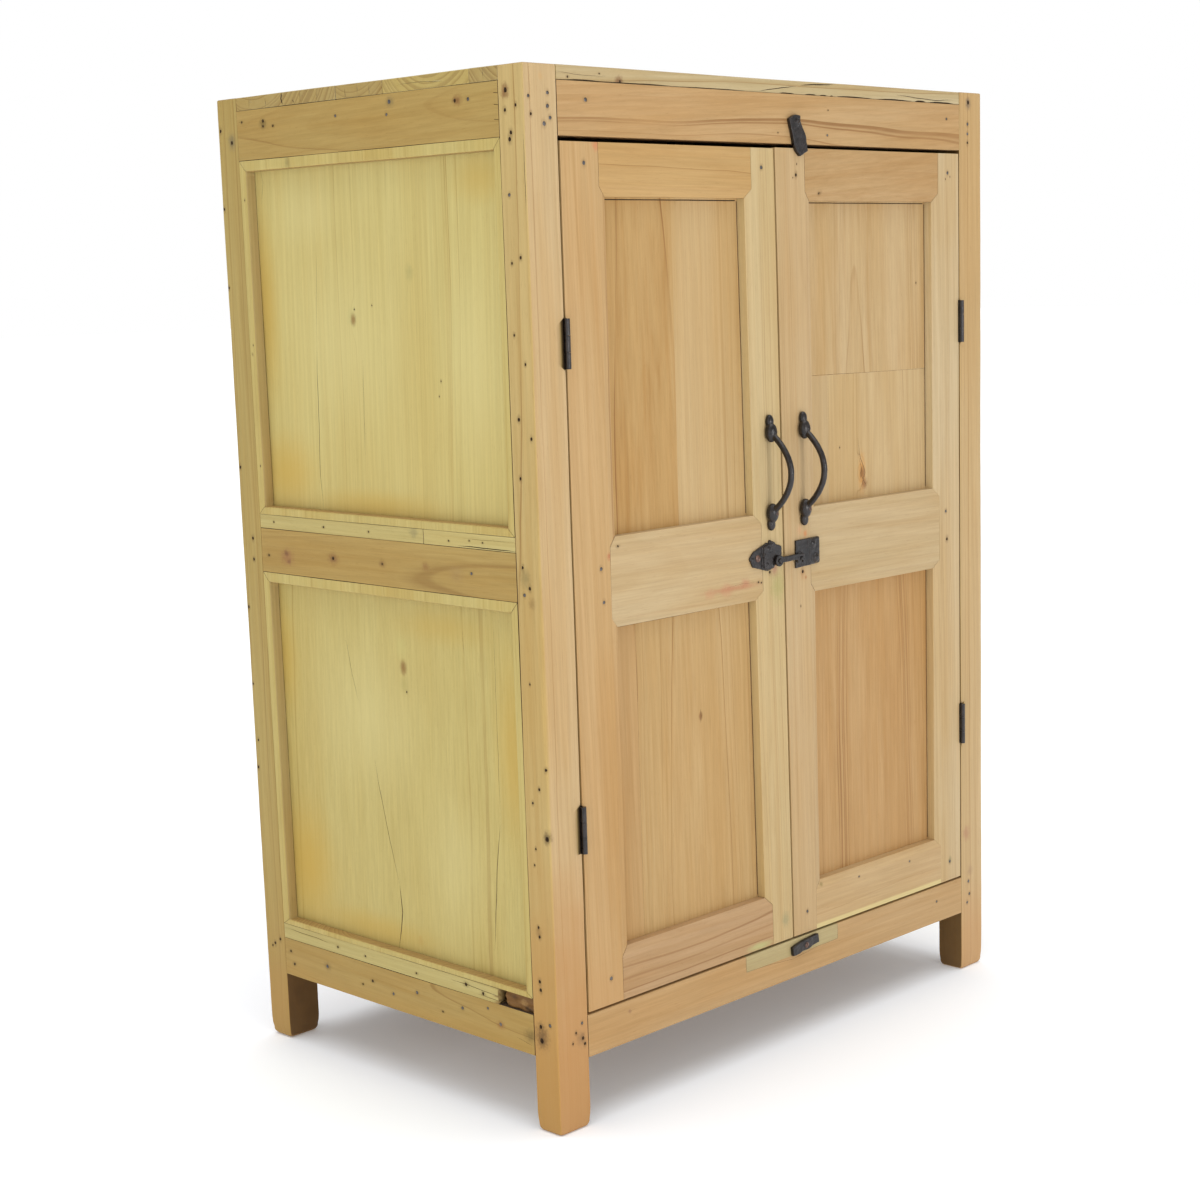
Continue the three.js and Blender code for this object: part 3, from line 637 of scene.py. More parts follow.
def wander(points, amp=0.6, seed=0, step=9.0, normal=1):
    """points in mm; more points between them, wandering a little sideways in the face"""
    out = []
    for a, b in zip(points[:-1], points[1:]):
        a, b = P(*a), P(*b)
        n = max(2, int((b - a).length * 1000 / step))
        for k in range(n):
            out.append(a.lerp(b, k / n))
    out.append(P(*points[-1]))
    for k, p in enumerate(out):
        if 0 < k < len(out) - 1:
            d = noise.noise_vector(Vector((k * 0.37, seed * 4.1, 2.2))) * (amp / 1000)
            d[normal] = 0
            p += d
    return out


def carve(me, cutter):
    if not cutter.faces:
        return me
    bmesh.ops.recalc_face_normals(cutter, faces=cutter.faces[:])
    c = temp(cutter, "cutter")
    c.data.materials.append(DARK)
    o = temp(me)
    mod = o.modifiers.new("cut", "BOOLEAN")
    mod.operation = "DIFFERENCE"
    mod.solver = "EXACT"
    mod.object = c
    mod.material_mode = "TRANSFER"
    mod.use_self = True
    out = evaluated(o)
    ok = len(out.polygons) > len(me.polygons) * 0.7
    drop(c)
    if not ok:
        print("carve failed on", me.name)
        bpy.data.objects.remove(o)
        return me
    bpy.data.objects.remove(o)
    return out


def piece(name, me, body, replaces=(), mats=None, weighted=True, smooth=True):
    if mats:
        old = list(me.materials)
        me.materials.clear()
        for m in mats:
            me.materials.append(m)
        for m in old:
            if m is not None and m.name not in [x.name for x in mats]:
                me.materials.append(m)
    if smooth:
        me.polygons.foreach_set("use_smooth", [True] * len(me.polygons))
    me.name = name
    o = bpy.data.objects.new(name, me)
    scene.collection.objects.link(o)
    if weighted:
        w = o.modifiers.new("normals", "WEIGHTED_NORMAL")
        w.keep_sharp = True
        w.weight = 60
    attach(o, body)
    if replaces:
        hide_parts(*replaces)
    return o


CUTS = {}       # node -> bmesh of pits and cracks
MARKS = {}      # node -> marks for the material
HEADS = {}      # body -> list of nail heads (at, out, r)


def cutter(node):
    if node not in CUTS:
        CUTS[node] = bmesh.new()
    return CUTS[node]


def halo(node, xyz, r, color=(96, 74, 44), st=0.55, stretch=1.5, grain="z", core=0.1, rag=0.7):
    radii = [r * (stretch if "xyz"[i] == grain else 1.0) for i in range(3)]
    MARKS.setdefault(node, []).append((xyz, radii, color, st, core, rag))


def grain_of(node):
    return GRAIN.get(node, "z")


GRAIN = {}
for n in NODES:
    if n.startswith("rail_front") or n.startswith("top_board") or n.startswith("back_board") or n in ("shelf", "floor_board") or n.endswith(("top_rail", "middle_rail", "bottom_rail")):
        GRAIN[n] = "x"
    elif n.startswith(("rail_left", "rail_right", "filler")):
        GRAIN[n] = "y"
    else:
        GRAIN[n] = "z"


# nails and holes on the front (x, z, r) or on the left side (y, z, r)
def nails(node, face, items, depth=0.0):
    for it in items:
        kind, a, b, r = it[:4]
        if face == "front":
            xyz, out = (a, FRONT + depth, b), (0, -1, 0)
        else:
            xyz, out = (SIDE + depth, a, b), (-1, 0, 0)
        at = P(*xyz)
        g = grain_of(node)
        if kind == "n":
            pit(cutter(node), at, out, r + 0.25, 0.9, seed=a)
            HEADS.setdefault(BODY[node], []).append((at, Vector(out), r))
            halo(node, xyz, r * 2.2, (120, 92, 56), 0.45, 1.4, g)
        elif kind == "h":
            pit(cutter(node), at, out, r, max(1.6, r), 1.15, seed=b)
            halo(node, xyz, r * 2.5, (104, 78, 46), 0.5, 1.6, g)
        elif kind == "s":      # stain only
            halo(node, xyz, r, it[4] if len(it) > 4 else (120, 84, 60), it[5] if len(it) > 5 else 0.6, 1.3, g, 0.0, 0.9)


# cuts a dark-lined groove: real cracks, splits and mitres, and also the painted shadow lines along the door panels'
# edges
def crack_and_shadow_line(node, face, pts, width=0.6, depth=0.0, deep=1.6, seed=0, amp=0.8, taper=True):
    if face == "front":
        p3 = [(a, FRONT + depth, b) for a, b in pts]
        out, nx = (0, -1, 0), 1
    else:
        p3 = [(SIDE + depth, a, b) for a, b in pts]
        out, nx = (-1, 0, 0), 0
    groove(cutter(node), wander(p3, amp, seed, normal=nx), out, width, deep, taper)


# --------------------------------------------------- nails, holes and cracks
PF = 14.5   # door and side panels lie this far behind the face
nails("post_front_left", "front", [
    ("n", -379.2, 1169.6, 2.0), ("n", -379.9, 1155.7, 2.3), ("h", -404.5, 1146.8, 1.6), ("n", -376.6, 1143.6, 2.2), ("n", -385.6, 1137.2, 2.6),
    ("n", -407.4, 1165.4, 1.8), ("s", -388.5, 1186.4, 5, (190, 150, 96), 0.5), ("n", -375.5, 127.9, 1.9), ("h", -385.5, 118.6, 1.5), ("h", -374.7, 109.5, 2.1),
    ("h", -371.8, 102.0, 1.8), ("h", -390.9, 106.9, 1.3), ("s", -378, 110, 11, (120, 92, 60), 0.5),
])
nails("post_front_left", "side", [
    ("h", -246.6, 1152.5, 1.9), ("h", -254.6, 1128.5, 2.1), ("h", -252.3, 1121.5, 2.2), ("h", -263.5, 1156.4, 1.6), ("h", -248.3, 1173.0, 2.6), ("s", -247.0, 1172.0, 10, (120, 74, 40), 0.7),
    ("n", -248.3, 1063.4, 2.0), ("h", -248.4, 991.1, 1.5), ("h", -262.4, 996.8, 1.8), ("h", -247.7, 914.2, 1.5), ("h", -263.9, 882.9, 1.5), ("h", -250.0, 822.8, 2.0),
    ("h", -269.0, 802.4, 1.8), ("h", -249.0, 758.2, 1.8), ("h", -247.0, 659.6, 1.7), ("n", -248.4, 628.9, 2.2), ("h", -257.5, 636.9, 1.9), ("s", -251, 648, 13, (112, 100, 66), 0.5), ("s", -260.3, 620.1, 8, (128, 96, 58), 0.5),
    ("h", -251.6, 528.6, 1.2), ("h", -272.0, 433.2, 1.7), ("h", -260.8, 409.4, 1.7), ("h", -249.2, 392.2, 1.5), ("h", -270.4, 353.4, 2.8), ("s", -270.4, 355, 9, (92, 72, 44), 0.7), ("h", -251.4, 339.1, 1.3),
    ("h", -248.5, 319.8, 1.2), ("h", -250.9, 246.9, 1.6), ("h", -252.2, 235.8, 1.8), ("s", -251, 241, 8, (128, 92, 50), 0.5), ("h", -249.5, 182.2, 2.0), ("h", -250.7, 172.5, 2.0), ("n", -264.0, 132.6, 2.2),
    ("h", -248.5, 128.0, 2.2), ("h", -249.5, 111.0, 3.0), ("s", -250, 116, 17, (92, 62, 34), 0.75),
])
crack_and_shadow_line("post_front_left", "side", [(-273.6, 1126), (-274.0, 1090), (-273.4, 1042)], 0.9, seed=3)
crack_and_shadow_line("post_front_left", "front", [(-405.5, 1196), (-404, 1146)], 0.35, seed=4, deep=0.8)
nails("post_front_right", "front", [
    ("h", 386.1, 1187.5, 2.6), ("s", 386, 1186, 9, (110, 96, 80), 0.6), ("n", 384.6, 1159.6, 2.2), ("n", 384.5, 1147.0, 2.0), ("h", 384.5, 1135.7, 1.7),
    ("n", 382.6, 125.5, 2.2), ("n", 384.8, 107.0, 2.1), ("n", 379.4, 95.5, 2.0), ("s", 378, 196, 12, (160, 108, 84), 0.5), ("s", 386, 140, 9, (150, 120, 92), 0.5),
])
nails("post_back_left", "side", [
    ("h", 271.0, 1162.9, 1.9), ("h", 249.0, 1147.6, 2.3), ("s", 249, 1149, 12, (110, 100, 84), 0.6), ("h", 272.9, 1069.0, 1.8), ("h", 272.9, 973.0, 1.7), ("h", 271.8, 749.5, 1.9),
    ("h", 253.9, 660.4, 2.0), ("h", 254.4, 633.7, 1.9), ("h", 271.9, 571.0, 1.9), ("h", 272.5, 470.8, 1.5), ("h", 268.1, 397.5, 1.5), ("h", 271.5, 361.3, 1.9),
    ("h", 257.8, 127.3, 1.9), ("h", 246.4, 134.8, 1.9), ("h", 263.5, 123.1, 1.4),
])
nails("rail_left_top", "side", [
    ("h", 226.0, 1170.7, 1.3), ("h", 183.2, 1169.4, 2.0), ("h", 183.7, 1163.4, 1.6), ("s", 184, 1166, 9, (104, 84, 44), 0.6), ("h", 163.9, 1162.7, 1.5), ("n", 43.7, 1166.1, 1.8),
    ("n", -54.4, 1175.0, 2.6), ("s", -56, 1175, 9, (112, 98, 72), 0.5), ("n", -48.7, 1161.2, 1.7), ("h", -166.1, 1168.0, 1.9), ("s", -170, 1168, 9, (120, 74, 40), 0.7), ("n", -187.9, 1168.1, 2.0),
])
for z in (1171, 1158.6, 1143):
    crack_and_shadow_line("rail_left_top", "side", [(-236, z), (-229, z + 0.8)], 0.8, deep=2, taper=False)
crack_and_shadow_line("rail_left_top", "side", [(235.5, 1170.5), (222, 1171.5)], 0.5)
nails("rail_left_middle", "side", [
    ("h", 222.0, 641.0, 1.6), ("s", 184.0, 641.0, 15, (138, 84, 66), 0.55), ("s", 186.0, 646.0, 6, (96, 52, 44), 0.6), ("s", 181.0, 636.0, 5, (104, 60, 50), 0.5), ("s", 91.9, 645.6, 11, (120, 70, 44), 0.6), ("h", 91.9, 646.1, 2.0),
    ("s", -1.6, 646.0, 7, (120, 80, 44), 0.6), ("h", -1.6, 646.0, 1.2), ("s", -80.7, 648.8, 8, (132, 88, 52), 0.6), ("n", -160.8, 646.5, 1.9), ("s", -135, 643, 14, (150, 118, 84), 0.4),
])
nails("rail_left_bottom", "side", [
    ("h", 218.0, 106.7, 1.8), ("h", 224.7, 122.8, 1.7), ("n", 148.6, 117.8, 2.5), ("s", 148, 118, 9, (120, 92, 56), 0.5), ("h", 57.5, 117.8, 1.9), ("h", 77.4, 109.5, 1.4), ("n", 17.5, 109.7, 2.0),
    ("n", -28.3, 121.3, 2.3), ("h", -75.3, 107.6, 1.4), ("n", -111.8, 120.2, 2.2), ("n", -157.5, 130.0, 1.7), ("n", -179.0, 115.0, 2.2), ("s", -179, 114, 8, (140, 84, 50), 0.5), ("s", -230, 112, 12, (96, 76, 40), 0.6),
])
crack_and_shadow_line("rail_left_bottom", "side", [(-205, 106), (-235, 101)], 0.6, seed=2)
nails("filler_left_middle", "side", [
    ("h", 207.8, 683.6, 1.3), ("h", 108.0, 683.2, 1.4), ("h", 21.3, 682.9, 1.2), ("s", -62, 687.0, 9, (120, 112, 88), 0.5), ("h", -123.8, 681.6, 1.1), ("h", -159.3, 683.9, 1.0), ("h", -182, 683, 1.0),
])
crack_and_shadow_line("filler_left_middle", "side", [(-79.6, 674.0), (-79.9, 683.5), (-79.2, 693.0)], 1.0, deep=3, taper=False, amp=0.3)
crack_and_shadow_line("filler_left_middle", "side", [(-140, 677.2), (-190, 677.0), (-237, 676.4)], 1.3, deep=3, seed=6, taper=True)
crack_and_shadow_line("filler_left_middle", "side", [(-150, 686.0), (-200, 686.4), (-236, 687.0)], 0.5, deep=1, seed=9)
nails("filler_left_bottom", "side", [
    ("h", 124.5, 148.3, 1.5), ("h", 69.5, 147.6, 1.3), ("h", -28.6, 146.0, 1.3), ("h", -120.0, 151.4, 2.3), ("h", -150.2, 146.6, 1.9),
])
crack_and_shadow_line("filler_left_bottom", "side", [(-92, 151.8), (-122, 151.4), (-150, 149.5), (-184, 148.6)], 0.9, deep=2, seed=5)
crack_and_shadow_line("filler_left_bottom", "side", [(-140, 144.2), (-184, 143.0)], 0.7, deep=2, seed=7)
crack_and_shadow_line("filler_left_bottom", "side", [(234, 153), (170, 151.5), (140, 150.0)], 0.8, deep=2, seed=8)
nails("moulding_left_upper", "side", [("h", 229.5, 1078.0, 0.9), ("h", 229.0, 902.3, 0.8), ("s", 140, 1118.5, 8, (120, 108, 70), 0.5), ("h", 228.9, 752.8, 0.9), ("s", 231.5, 890.9, 3, (110, 84, 50), 0.6)])
nails("panel_left_upper", "side", [
    ("h", 45.1, 944.1, 1.1), ("h", 12.0, 948.4, 0.9), ("s", 50, 935, 13, (170, 158, 108), 0.6), ("h", -105.9, 861.8, 1.0), ("h", -101.8, 844.4, 0.8), ("s", -58.6, 985.0, 11, (158, 146, 100), 0.5),
], depth=PF)
crack_and_shadow_line("panel_left_upper", "side", [(121.3, 900), (125.0, 800), (127.0, 745), (124.0, 703)], 1.2, depth=PF, seed=11, deep=2)
crack_and_shadow_line("panel_left_upper", "side", [(110.5, 1020), (118, 940), (121.3, 905)], 0.6, depth=PF, seed=12, deep=0.8)
crack_and_shadow_line("panel_left_upper", "side", [(34, 885), (36, 824), (38, 770)], 0.8, depth=PF, seed=13, deep=1)
crack_and_shadow_line("panel_left_upper", "side", [(214, 1118), (210, 1098), (215.7, 1072)], 0.6, depth=PF, seed=14, deep=1)
nails("panel_left_lower", "side", [("h", -18.1, 490.9, 1.2), ("s", -14, 500, 13, (164, 146, 92), 0.6), ("s", -12, 545, 16, (190, 176, 122), 0.5), ("s", -22, 182, 8, (176, 140, 84), 0.5)], depth=PF)
crack_and_shadow_line("panel_left_lower", "side", [(49.0, 398), (42, 360), (31.2, 315), (22, 280), (12.9, 246)], 1.1, depth=PF, seed=15, deep=1.4)
crack_and_shadow_line("panel_left_lower", "side", [(12.9, 246), (9.5, 212), (14, 188), (20.4, 162)], 1.8, depth=PF, seed=16, deep=2)
crack_and_shadow_line("panel_left_lower", "side", [(-176.9, 358), (-168, 300), (-163.5, 254), (-157.6, 196)], 1.3, depth=PF, seed=17, deep=1.5)
crack_and_shadow_line("panel_left_lower", "side", [(-178.2, 606), (-177.5, 480), (-176.9, 358)], 0.7, depth=PF, seed=18, deep=0.8)
crack_and_shadow_line("panel_left_lower", "side", [(94.5, 547), (86, 505), (74.8, 468)], 0.8, depth=PF, seed=19, deep=0.8)
crack_and_shadow_line("panel_left_lower", "side", [(-124.1, 577), (-125.5, 545)], 0.8, depth=PF, seed=20, deep=0.8)
nails("rail_front_top", "front", [("n", -322.5, 1164.3, 2.4), ("n", 92.0, 1137.6, 1.5), ("n", 337.6, 1164.8, 1.7), ("h", 94, 1167.5, 0.9), ("h", -1.0, 1138.2, 0.9)])
nails("door_left_hinge_stile", "front", [
    ("n", -328.0, 1097.2, 2.5), ("n", -321.0, 649.4, 2.3), ("n", -318.4, 610.8, 2.1), ("n", -325.8, 168.6, 2.4), ("s", -309.0, 1117.0, 8, (196, 106, 68), 0.55), ("s", -307.5, 662.0, 5, (170, 84, 56), 0.6),
])
nails("door_left_meeting_stile", "front", [("n", -33.0, 1097.1, 2.4), ("s", -21.6, 614.0, 10, (168, 116, 96), 0.75), ("h", -30.5, 611.5, 1.7), ("s", -15.3, 592.0, 24, (152, 148, 84), 0.55), ("s", -12, 165, 11, (130, 132, 96), 0.5)])
nails("door_left_middle_rail", "front", [
    ("h", -293.3, 672.3, 1.3), ("h", -52.0, 601.5, 1.3), ("h", -46.5, 600.4, 1.1), ("s", -75.0, 602.0, 10, (176, 112, 84), 0.6), ("s", -110.0, 599.0, 12, (184, 122, 92), 0.5), ("s", -140.0, 597.5, 10, (186, 132, 98), 0.45),
])
MARKS["door_left_middle_rail"].append(((-100, FRONT, 599.5), (72, 20, 5.0), (172, 118, 84), 0.75, 0.0, 0.5))
crack_and_shadow_line("door_left_middle_rail", "front", [(-58, 602.5), (-80, 603.6), (-118, 601.2)], 0.45, seed=21, deep=0.9)
nails("door_left_bottom_rail", "front", [("s", -177.6, 131.0, 4, (110, 78, 60), 0.6)])
crack_and_shadow_line("door_left_hinge_stile", "front", [(-304.6, 196), (-304.9, 178), (-304.5, 160)], 0.9, seed=22, deep=2)
MARKS.setdefault("door_left_bottom_rail", []).append(((-62, FRONT, 142), (34, 20, 7), (176, 178, 120), 0.7, 0.1, 0.5))
nails("door_right_meeting_stile", "front", [("h", 30.8, 1089.2, 1.9), ("h", 32.5, 1102, 0.8), ("h", 25, 1086, 0.7), ("h", 32.4, 604.9, 2.1), ("s", 33, 601, 9, (176, 132, 84), 0.5), ("s", 38.3, 597.0, 3, (150, 84, 40), 0.6), ("h", 27.7, 561.8, 0.9), ("n", 31.0, 165.2, 2.2), ("s", 38, 652, 6, (196, 116, 60), 0.6), ("s", 28, 657, 8, (204, 150, 110), 0.4)])
nails("door_right_hinge_stile", "front", [("n", 339.6, 1096.0, 2.2), ("h", 335, 1088, 0.8), ("h", 345, 1091, 0.8), ("n", 333.0, 651.4, 2.1), ("h", 335.0, 613.6, 2.0), ("n", 338.7, 164.0, 2.2), ("s", 338.7, 166, 6, (120, 120, 76), 0.5)])
nails("door_right_top_rail", "front", [("h", 74.8, 1067.6, 1.4), ("s", 76, 1067.6, 6, (128, 96, 54), 0.5)])
nails("door_right_bottom_rail", "front", [("n", 247.2, 184.0, 1.5), ("n", 137.8, 187.2, 1.5), ("s", 60.8, 194.5, 5, (112, 100, 52), 0.6)])
nails("door_right_upper_panel", "front", [("h", 289.1, 955.2, 1.1), ("h", 126, 752, 0.9)], depth=PF)
for k, pts in enumerate([[(163, 762), (166, 742), (172, 728), (177, 716), (172, 702), (166, 693)], [(172, 728), (168, 716), (174, 706), (181, 698)], [(164, 742), (170, 720), (166, 705)]]):
    crack_and_shadow_line("door_right_upper_panel", "front", pts, 1.0 - 0.2 * k, depth=PF, seed=30 + k, deep=2.2, amp=1.6)
MARKS.setdefault("door_right_upper_panel", []).append(((171, FRONT + PF, 716), (11, 20, 36), (200, 140, 66), 0.75, 0.0, 0.8))
MARKS["door_right_upper_panel"].append(((176, FRONT + PF, 702), (9, 20, 12), (120, 70, 32), 0.7, 0.0, 0.8))
crack_and_shadow_line("door_right_upper_panel", "front", [(56, 845.8), (180, 844.3), (312, 842.8)], 0.45, depth=PF, seed=33, deep=0.8, amp=0.3, taper=False)
crack_and_shadow_line("door_right_upper_panel", "front", [(104.6, 842), (103, 760), (102, 684)], 0.22, depth=PF, seed=34, deep=0.4, amp=0.3, taper=False)
crack_and_shadow_line("door_left_lower_panel", "front", [(-254.8, 580), (-254.2, 480), (-253.3, 196)], 0.30, depth=PF, seed=35, deep=0.6, amp=0.4, taper=False)
crack_and_shadow_line("door_left_lower_panel", "front", [(-146.1, 458), (-145.0, 448), (-146.4, 440)], 1.1, depth=PF, seed=36, deep=1.6)
nails("rail_front_bottom", "front", [("n", 307.8, 113.5, 1.7), ("s", -296.6, 120.7, 4, (124, 84, 64), 0.5)])
crack_and_shadow_line("rail_front_bottom", "front", [(-89.4, 134.6), (-89.3, 124), (-88.6, 114.6)], 0.7, seed=40, deep=1, amp=0.3, taper=False)
crack_and_shadow_line("rail_front_bottom", "front", [(-88.6, 114.6), (-40, 112.6), (0, 108.8), (50, 113.8), (91, 114.4)], 0.5, seed=41, deep=0.8, amp=0.8, taper=False)
crack_and_shadow_line("rail_front_bottom", "front", [(91, 114.4), (91.6, 126), (91.5, 134.6)], 0.5, seed=42, deep=0.8, amp=0.3, taper=False)
nails("top_board_1", "front", [("h", -348.5, 1187.5, 1.2), ("s", -270, 1187, 7, (110, 66, 34), 0.8), ("h", -268, 1186, 1.5), ("h", -300, 1193, 0.9)])
crack_and_shadow_line("top_board_1", "front", [(42, 1195.0), (70, 1197.0), (104, 1198.6)], 1.5, seed=43, deep=4)
crack_and_shadow_line("top_board_1", "front", [(-34, 1185.2), (-14, 1187.6), (8, 1190.6), (34, 1193.6)], 1.1, seed=44, deep=3)
crack_and_shadow_line("top_board_1", "front", [(230, 1191.0), (280, 1188.5), (320, 1187.0), (352, 1189.4)], 0.9, seed=45, deep=3)
crack_and_shadow_line("top_board_1", "front", [(-366, 1192.0), (-330, 1190.6), (-290, 1190.0)], 0.5, seed=46, deep=2)
# clouds of gold and cream on the side panels
GOLD, CREAM = (190, 154, 80), (210, 196, 154)
for y, z, ry, rz, col, st in (
    (190, 745, 85, 70, GOLD, 0.75), (216, 950, 34, 170, GOLD, 0.7), (-185, 1085, 70, 40, GOLD, 0.5), (20, 712, 170, 26, GOLD, 0.6), (60, 900, 130, 150, CREAM, 0.32), (-165, 880, 84, 170, CREAM, 0.36), (130, 1060, 90, 60, CREAM, 0.25),
):
    MARKS["panel_left_upper"].append(((SIDE + PF, y, z), (30, ry, rz), col, st, 0.0, 0.25))
for y, z, ry, rz, col, st in (
    (195, 240, 80, 120, GOLD, 0.85), (-205, 440, 42, 170, GOLD, 0.7), (216, 510, 32, 100, GOLD, 0.6), (60, 182, 160, 30, GOLD, 0.6), (-90, 575, 120, 30, GOLD, 0.4), (60, 450, 150, 140, CREAM, 0.34), (-100, 290, 84, 130, CREAM, 0.3),
):
    MARKS["panel_left_lower"].append(((SIDE + PF, y, z), (30, ry, rz), col, st, 0.0, 0.25))
# painted shadow lines: dark grooves where the door panels meet the reveals on their right and under the rails, standing
# in for the shade in those gaps
for node, zs, f in (("door_left_upper_panel", (686, 1058), lambda z: -36 - 16 * (z - 136.5) / 990.5 - 11), ("door_left_lower_panel", (203, 576), lambda z: -36 - 16 * (z - 136.5) / 990.5 - 11),
                    ("door_right_upper_panel", (687, 1056), lambda z: 307.5), ("door_right_lower_panel", (203, 574), lambda z: 307.5)):
    zm = (zs[0] + zs[1]) / 2
    crack_and_shadow_line(node, "front", [(f(z) - 0.7, z) for z in (zs[0], zm, zs[1])], 1.7, depth=PF, seed=zm, deep=2, amp=0.25, taper=False)
    left = -294 if "left" in node else 60
    crack_and_shadow_line(node, "front", [(left + 2, zs[1] + 0.9), (f(zs[1]) - 3, zs[1] + 0.9)], 2.0, depth=PF, seed=zm + 1, deep=2, amp=0.2, taper=False)
# mitres of the planted mouldings
for node, z0, z1, foot_h in (("moulding_left_upper", 692.3, 1124.7, 10), ("moulding_left_lower", 158.6, 619.2, 7)):
    for sg in (-1, 1):
        crack_and_shadow_line(node, "side", [(sg * 236.2, z1), (sg * 224.0, z1 - 13.6)], 0.6, deep=2, taper=False, amp=0.1)
        crack_and_shadow_line(node, "side", [(sg * 236.2, z0), (sg * 224.0, z0 + foot_h + 0.6)], 0.6, deep=2, taper=False, amp=0.1)
for k, (a, b, w) in enumerate([(2, 30, 1.3), (50, 72, 1.6), (78, 92, 1.2), (98, 104, 1.2), (112, 180, 2.2), (190, 262, 1.7), (270, 292, 2.6), (300, 352, 2.2), (-350, -300, 1.3), (-290, -190, 0.9), (-170, -60, 0.8)]):
    crack_and_shadow_line("top_board_1", "front", [(a, 1184.6), ((a + b) / 2, 1184.9), (b, 1184.6)], w, seed=50 + k, deep=4, amp=0.5)
# end grain splits in the ends of the top boards, on the left
for node, pts, w in [
    ("top_board_4", [(143.5, 1199.6), (145.5, 1193), (143.0, 1185.5)], 2.6), ("top_board_4", [(108.3, 1186), (109, 1199)], 0.7), ("top_board_4", [(176, 1185), (177, 1196)], 0.8), ("top_board_4", [(210, 1186), (209, 1199)], 0.6),
    ("top_board_4", [(76, 1185), (77.5, 1199)], 0.6), ("top_board_4", [(120, 1185.4), (124, 1191)], 1.4), ("top_board_3", [(23.8, 1185), (24.5, 1196)], 0.9), ("top_board_3", [(2, 1186), (1.5, 1199)], 0.6),
    ("top_board_3", [(-20, 1185), (-19, 1197)], 0.5), ("top_board_1", [(-214, 1186), (-213, 1199)], 0.5), ("top_board_2", [(-150, 1190), (-110, 1192.4), (-70, 1192)], 0.4),
]:
    crack_and_shadow_line(node, "side", pts, w, deep=3, seed=pts[0][0], amp=0.5)


# --------------------------------------------------------------- the boards
def centre_of(node):
    lo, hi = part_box(node)
    c = (lo + hi) / 2 * 1000
    return (c.x, c.y - SHIFT, c.z)


# node: (colour, pith offset (width, thickness), tilt, spacing, lines, figure, streak, mottle)
def look(node, color, pith=(30, 70), tilt=(1.2, 0.4), spacing=6.0, lines=0.5, figure=18, streak=0.5, mottle=0.5, knots=(), grads=(), seed=None, painted_side_light=None, mat=None, centre=None, inner=()):
    g = grain_of(node)
    lo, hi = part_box(node)
    d = hi - lo
    others = sorted((i for i in range(3) if "xyz"[i] != g), key=lambda i: -d[i])
    axes = (g, "xyz"[others[0]], "xyz"[others[1]])
    if node.startswith("post"):
        axes = ("z", "x", "y")
    return wood(mat or ("pine_" + node), color, axes, centre or centre_of(node), seed if seed is not None else (abs(hash_name(node)) % 97) / 7.0, pith, tilt, spacing, lines, figure, streak,
                mottle, MARKS.get(node, ()), knots, grads, painted_side_light=painted_side_light, inner=inner)


def hash_name(s):
    h = 7
    for ch in s:
        h = (h * 31 + ord(ch)) % 1000003
    return h


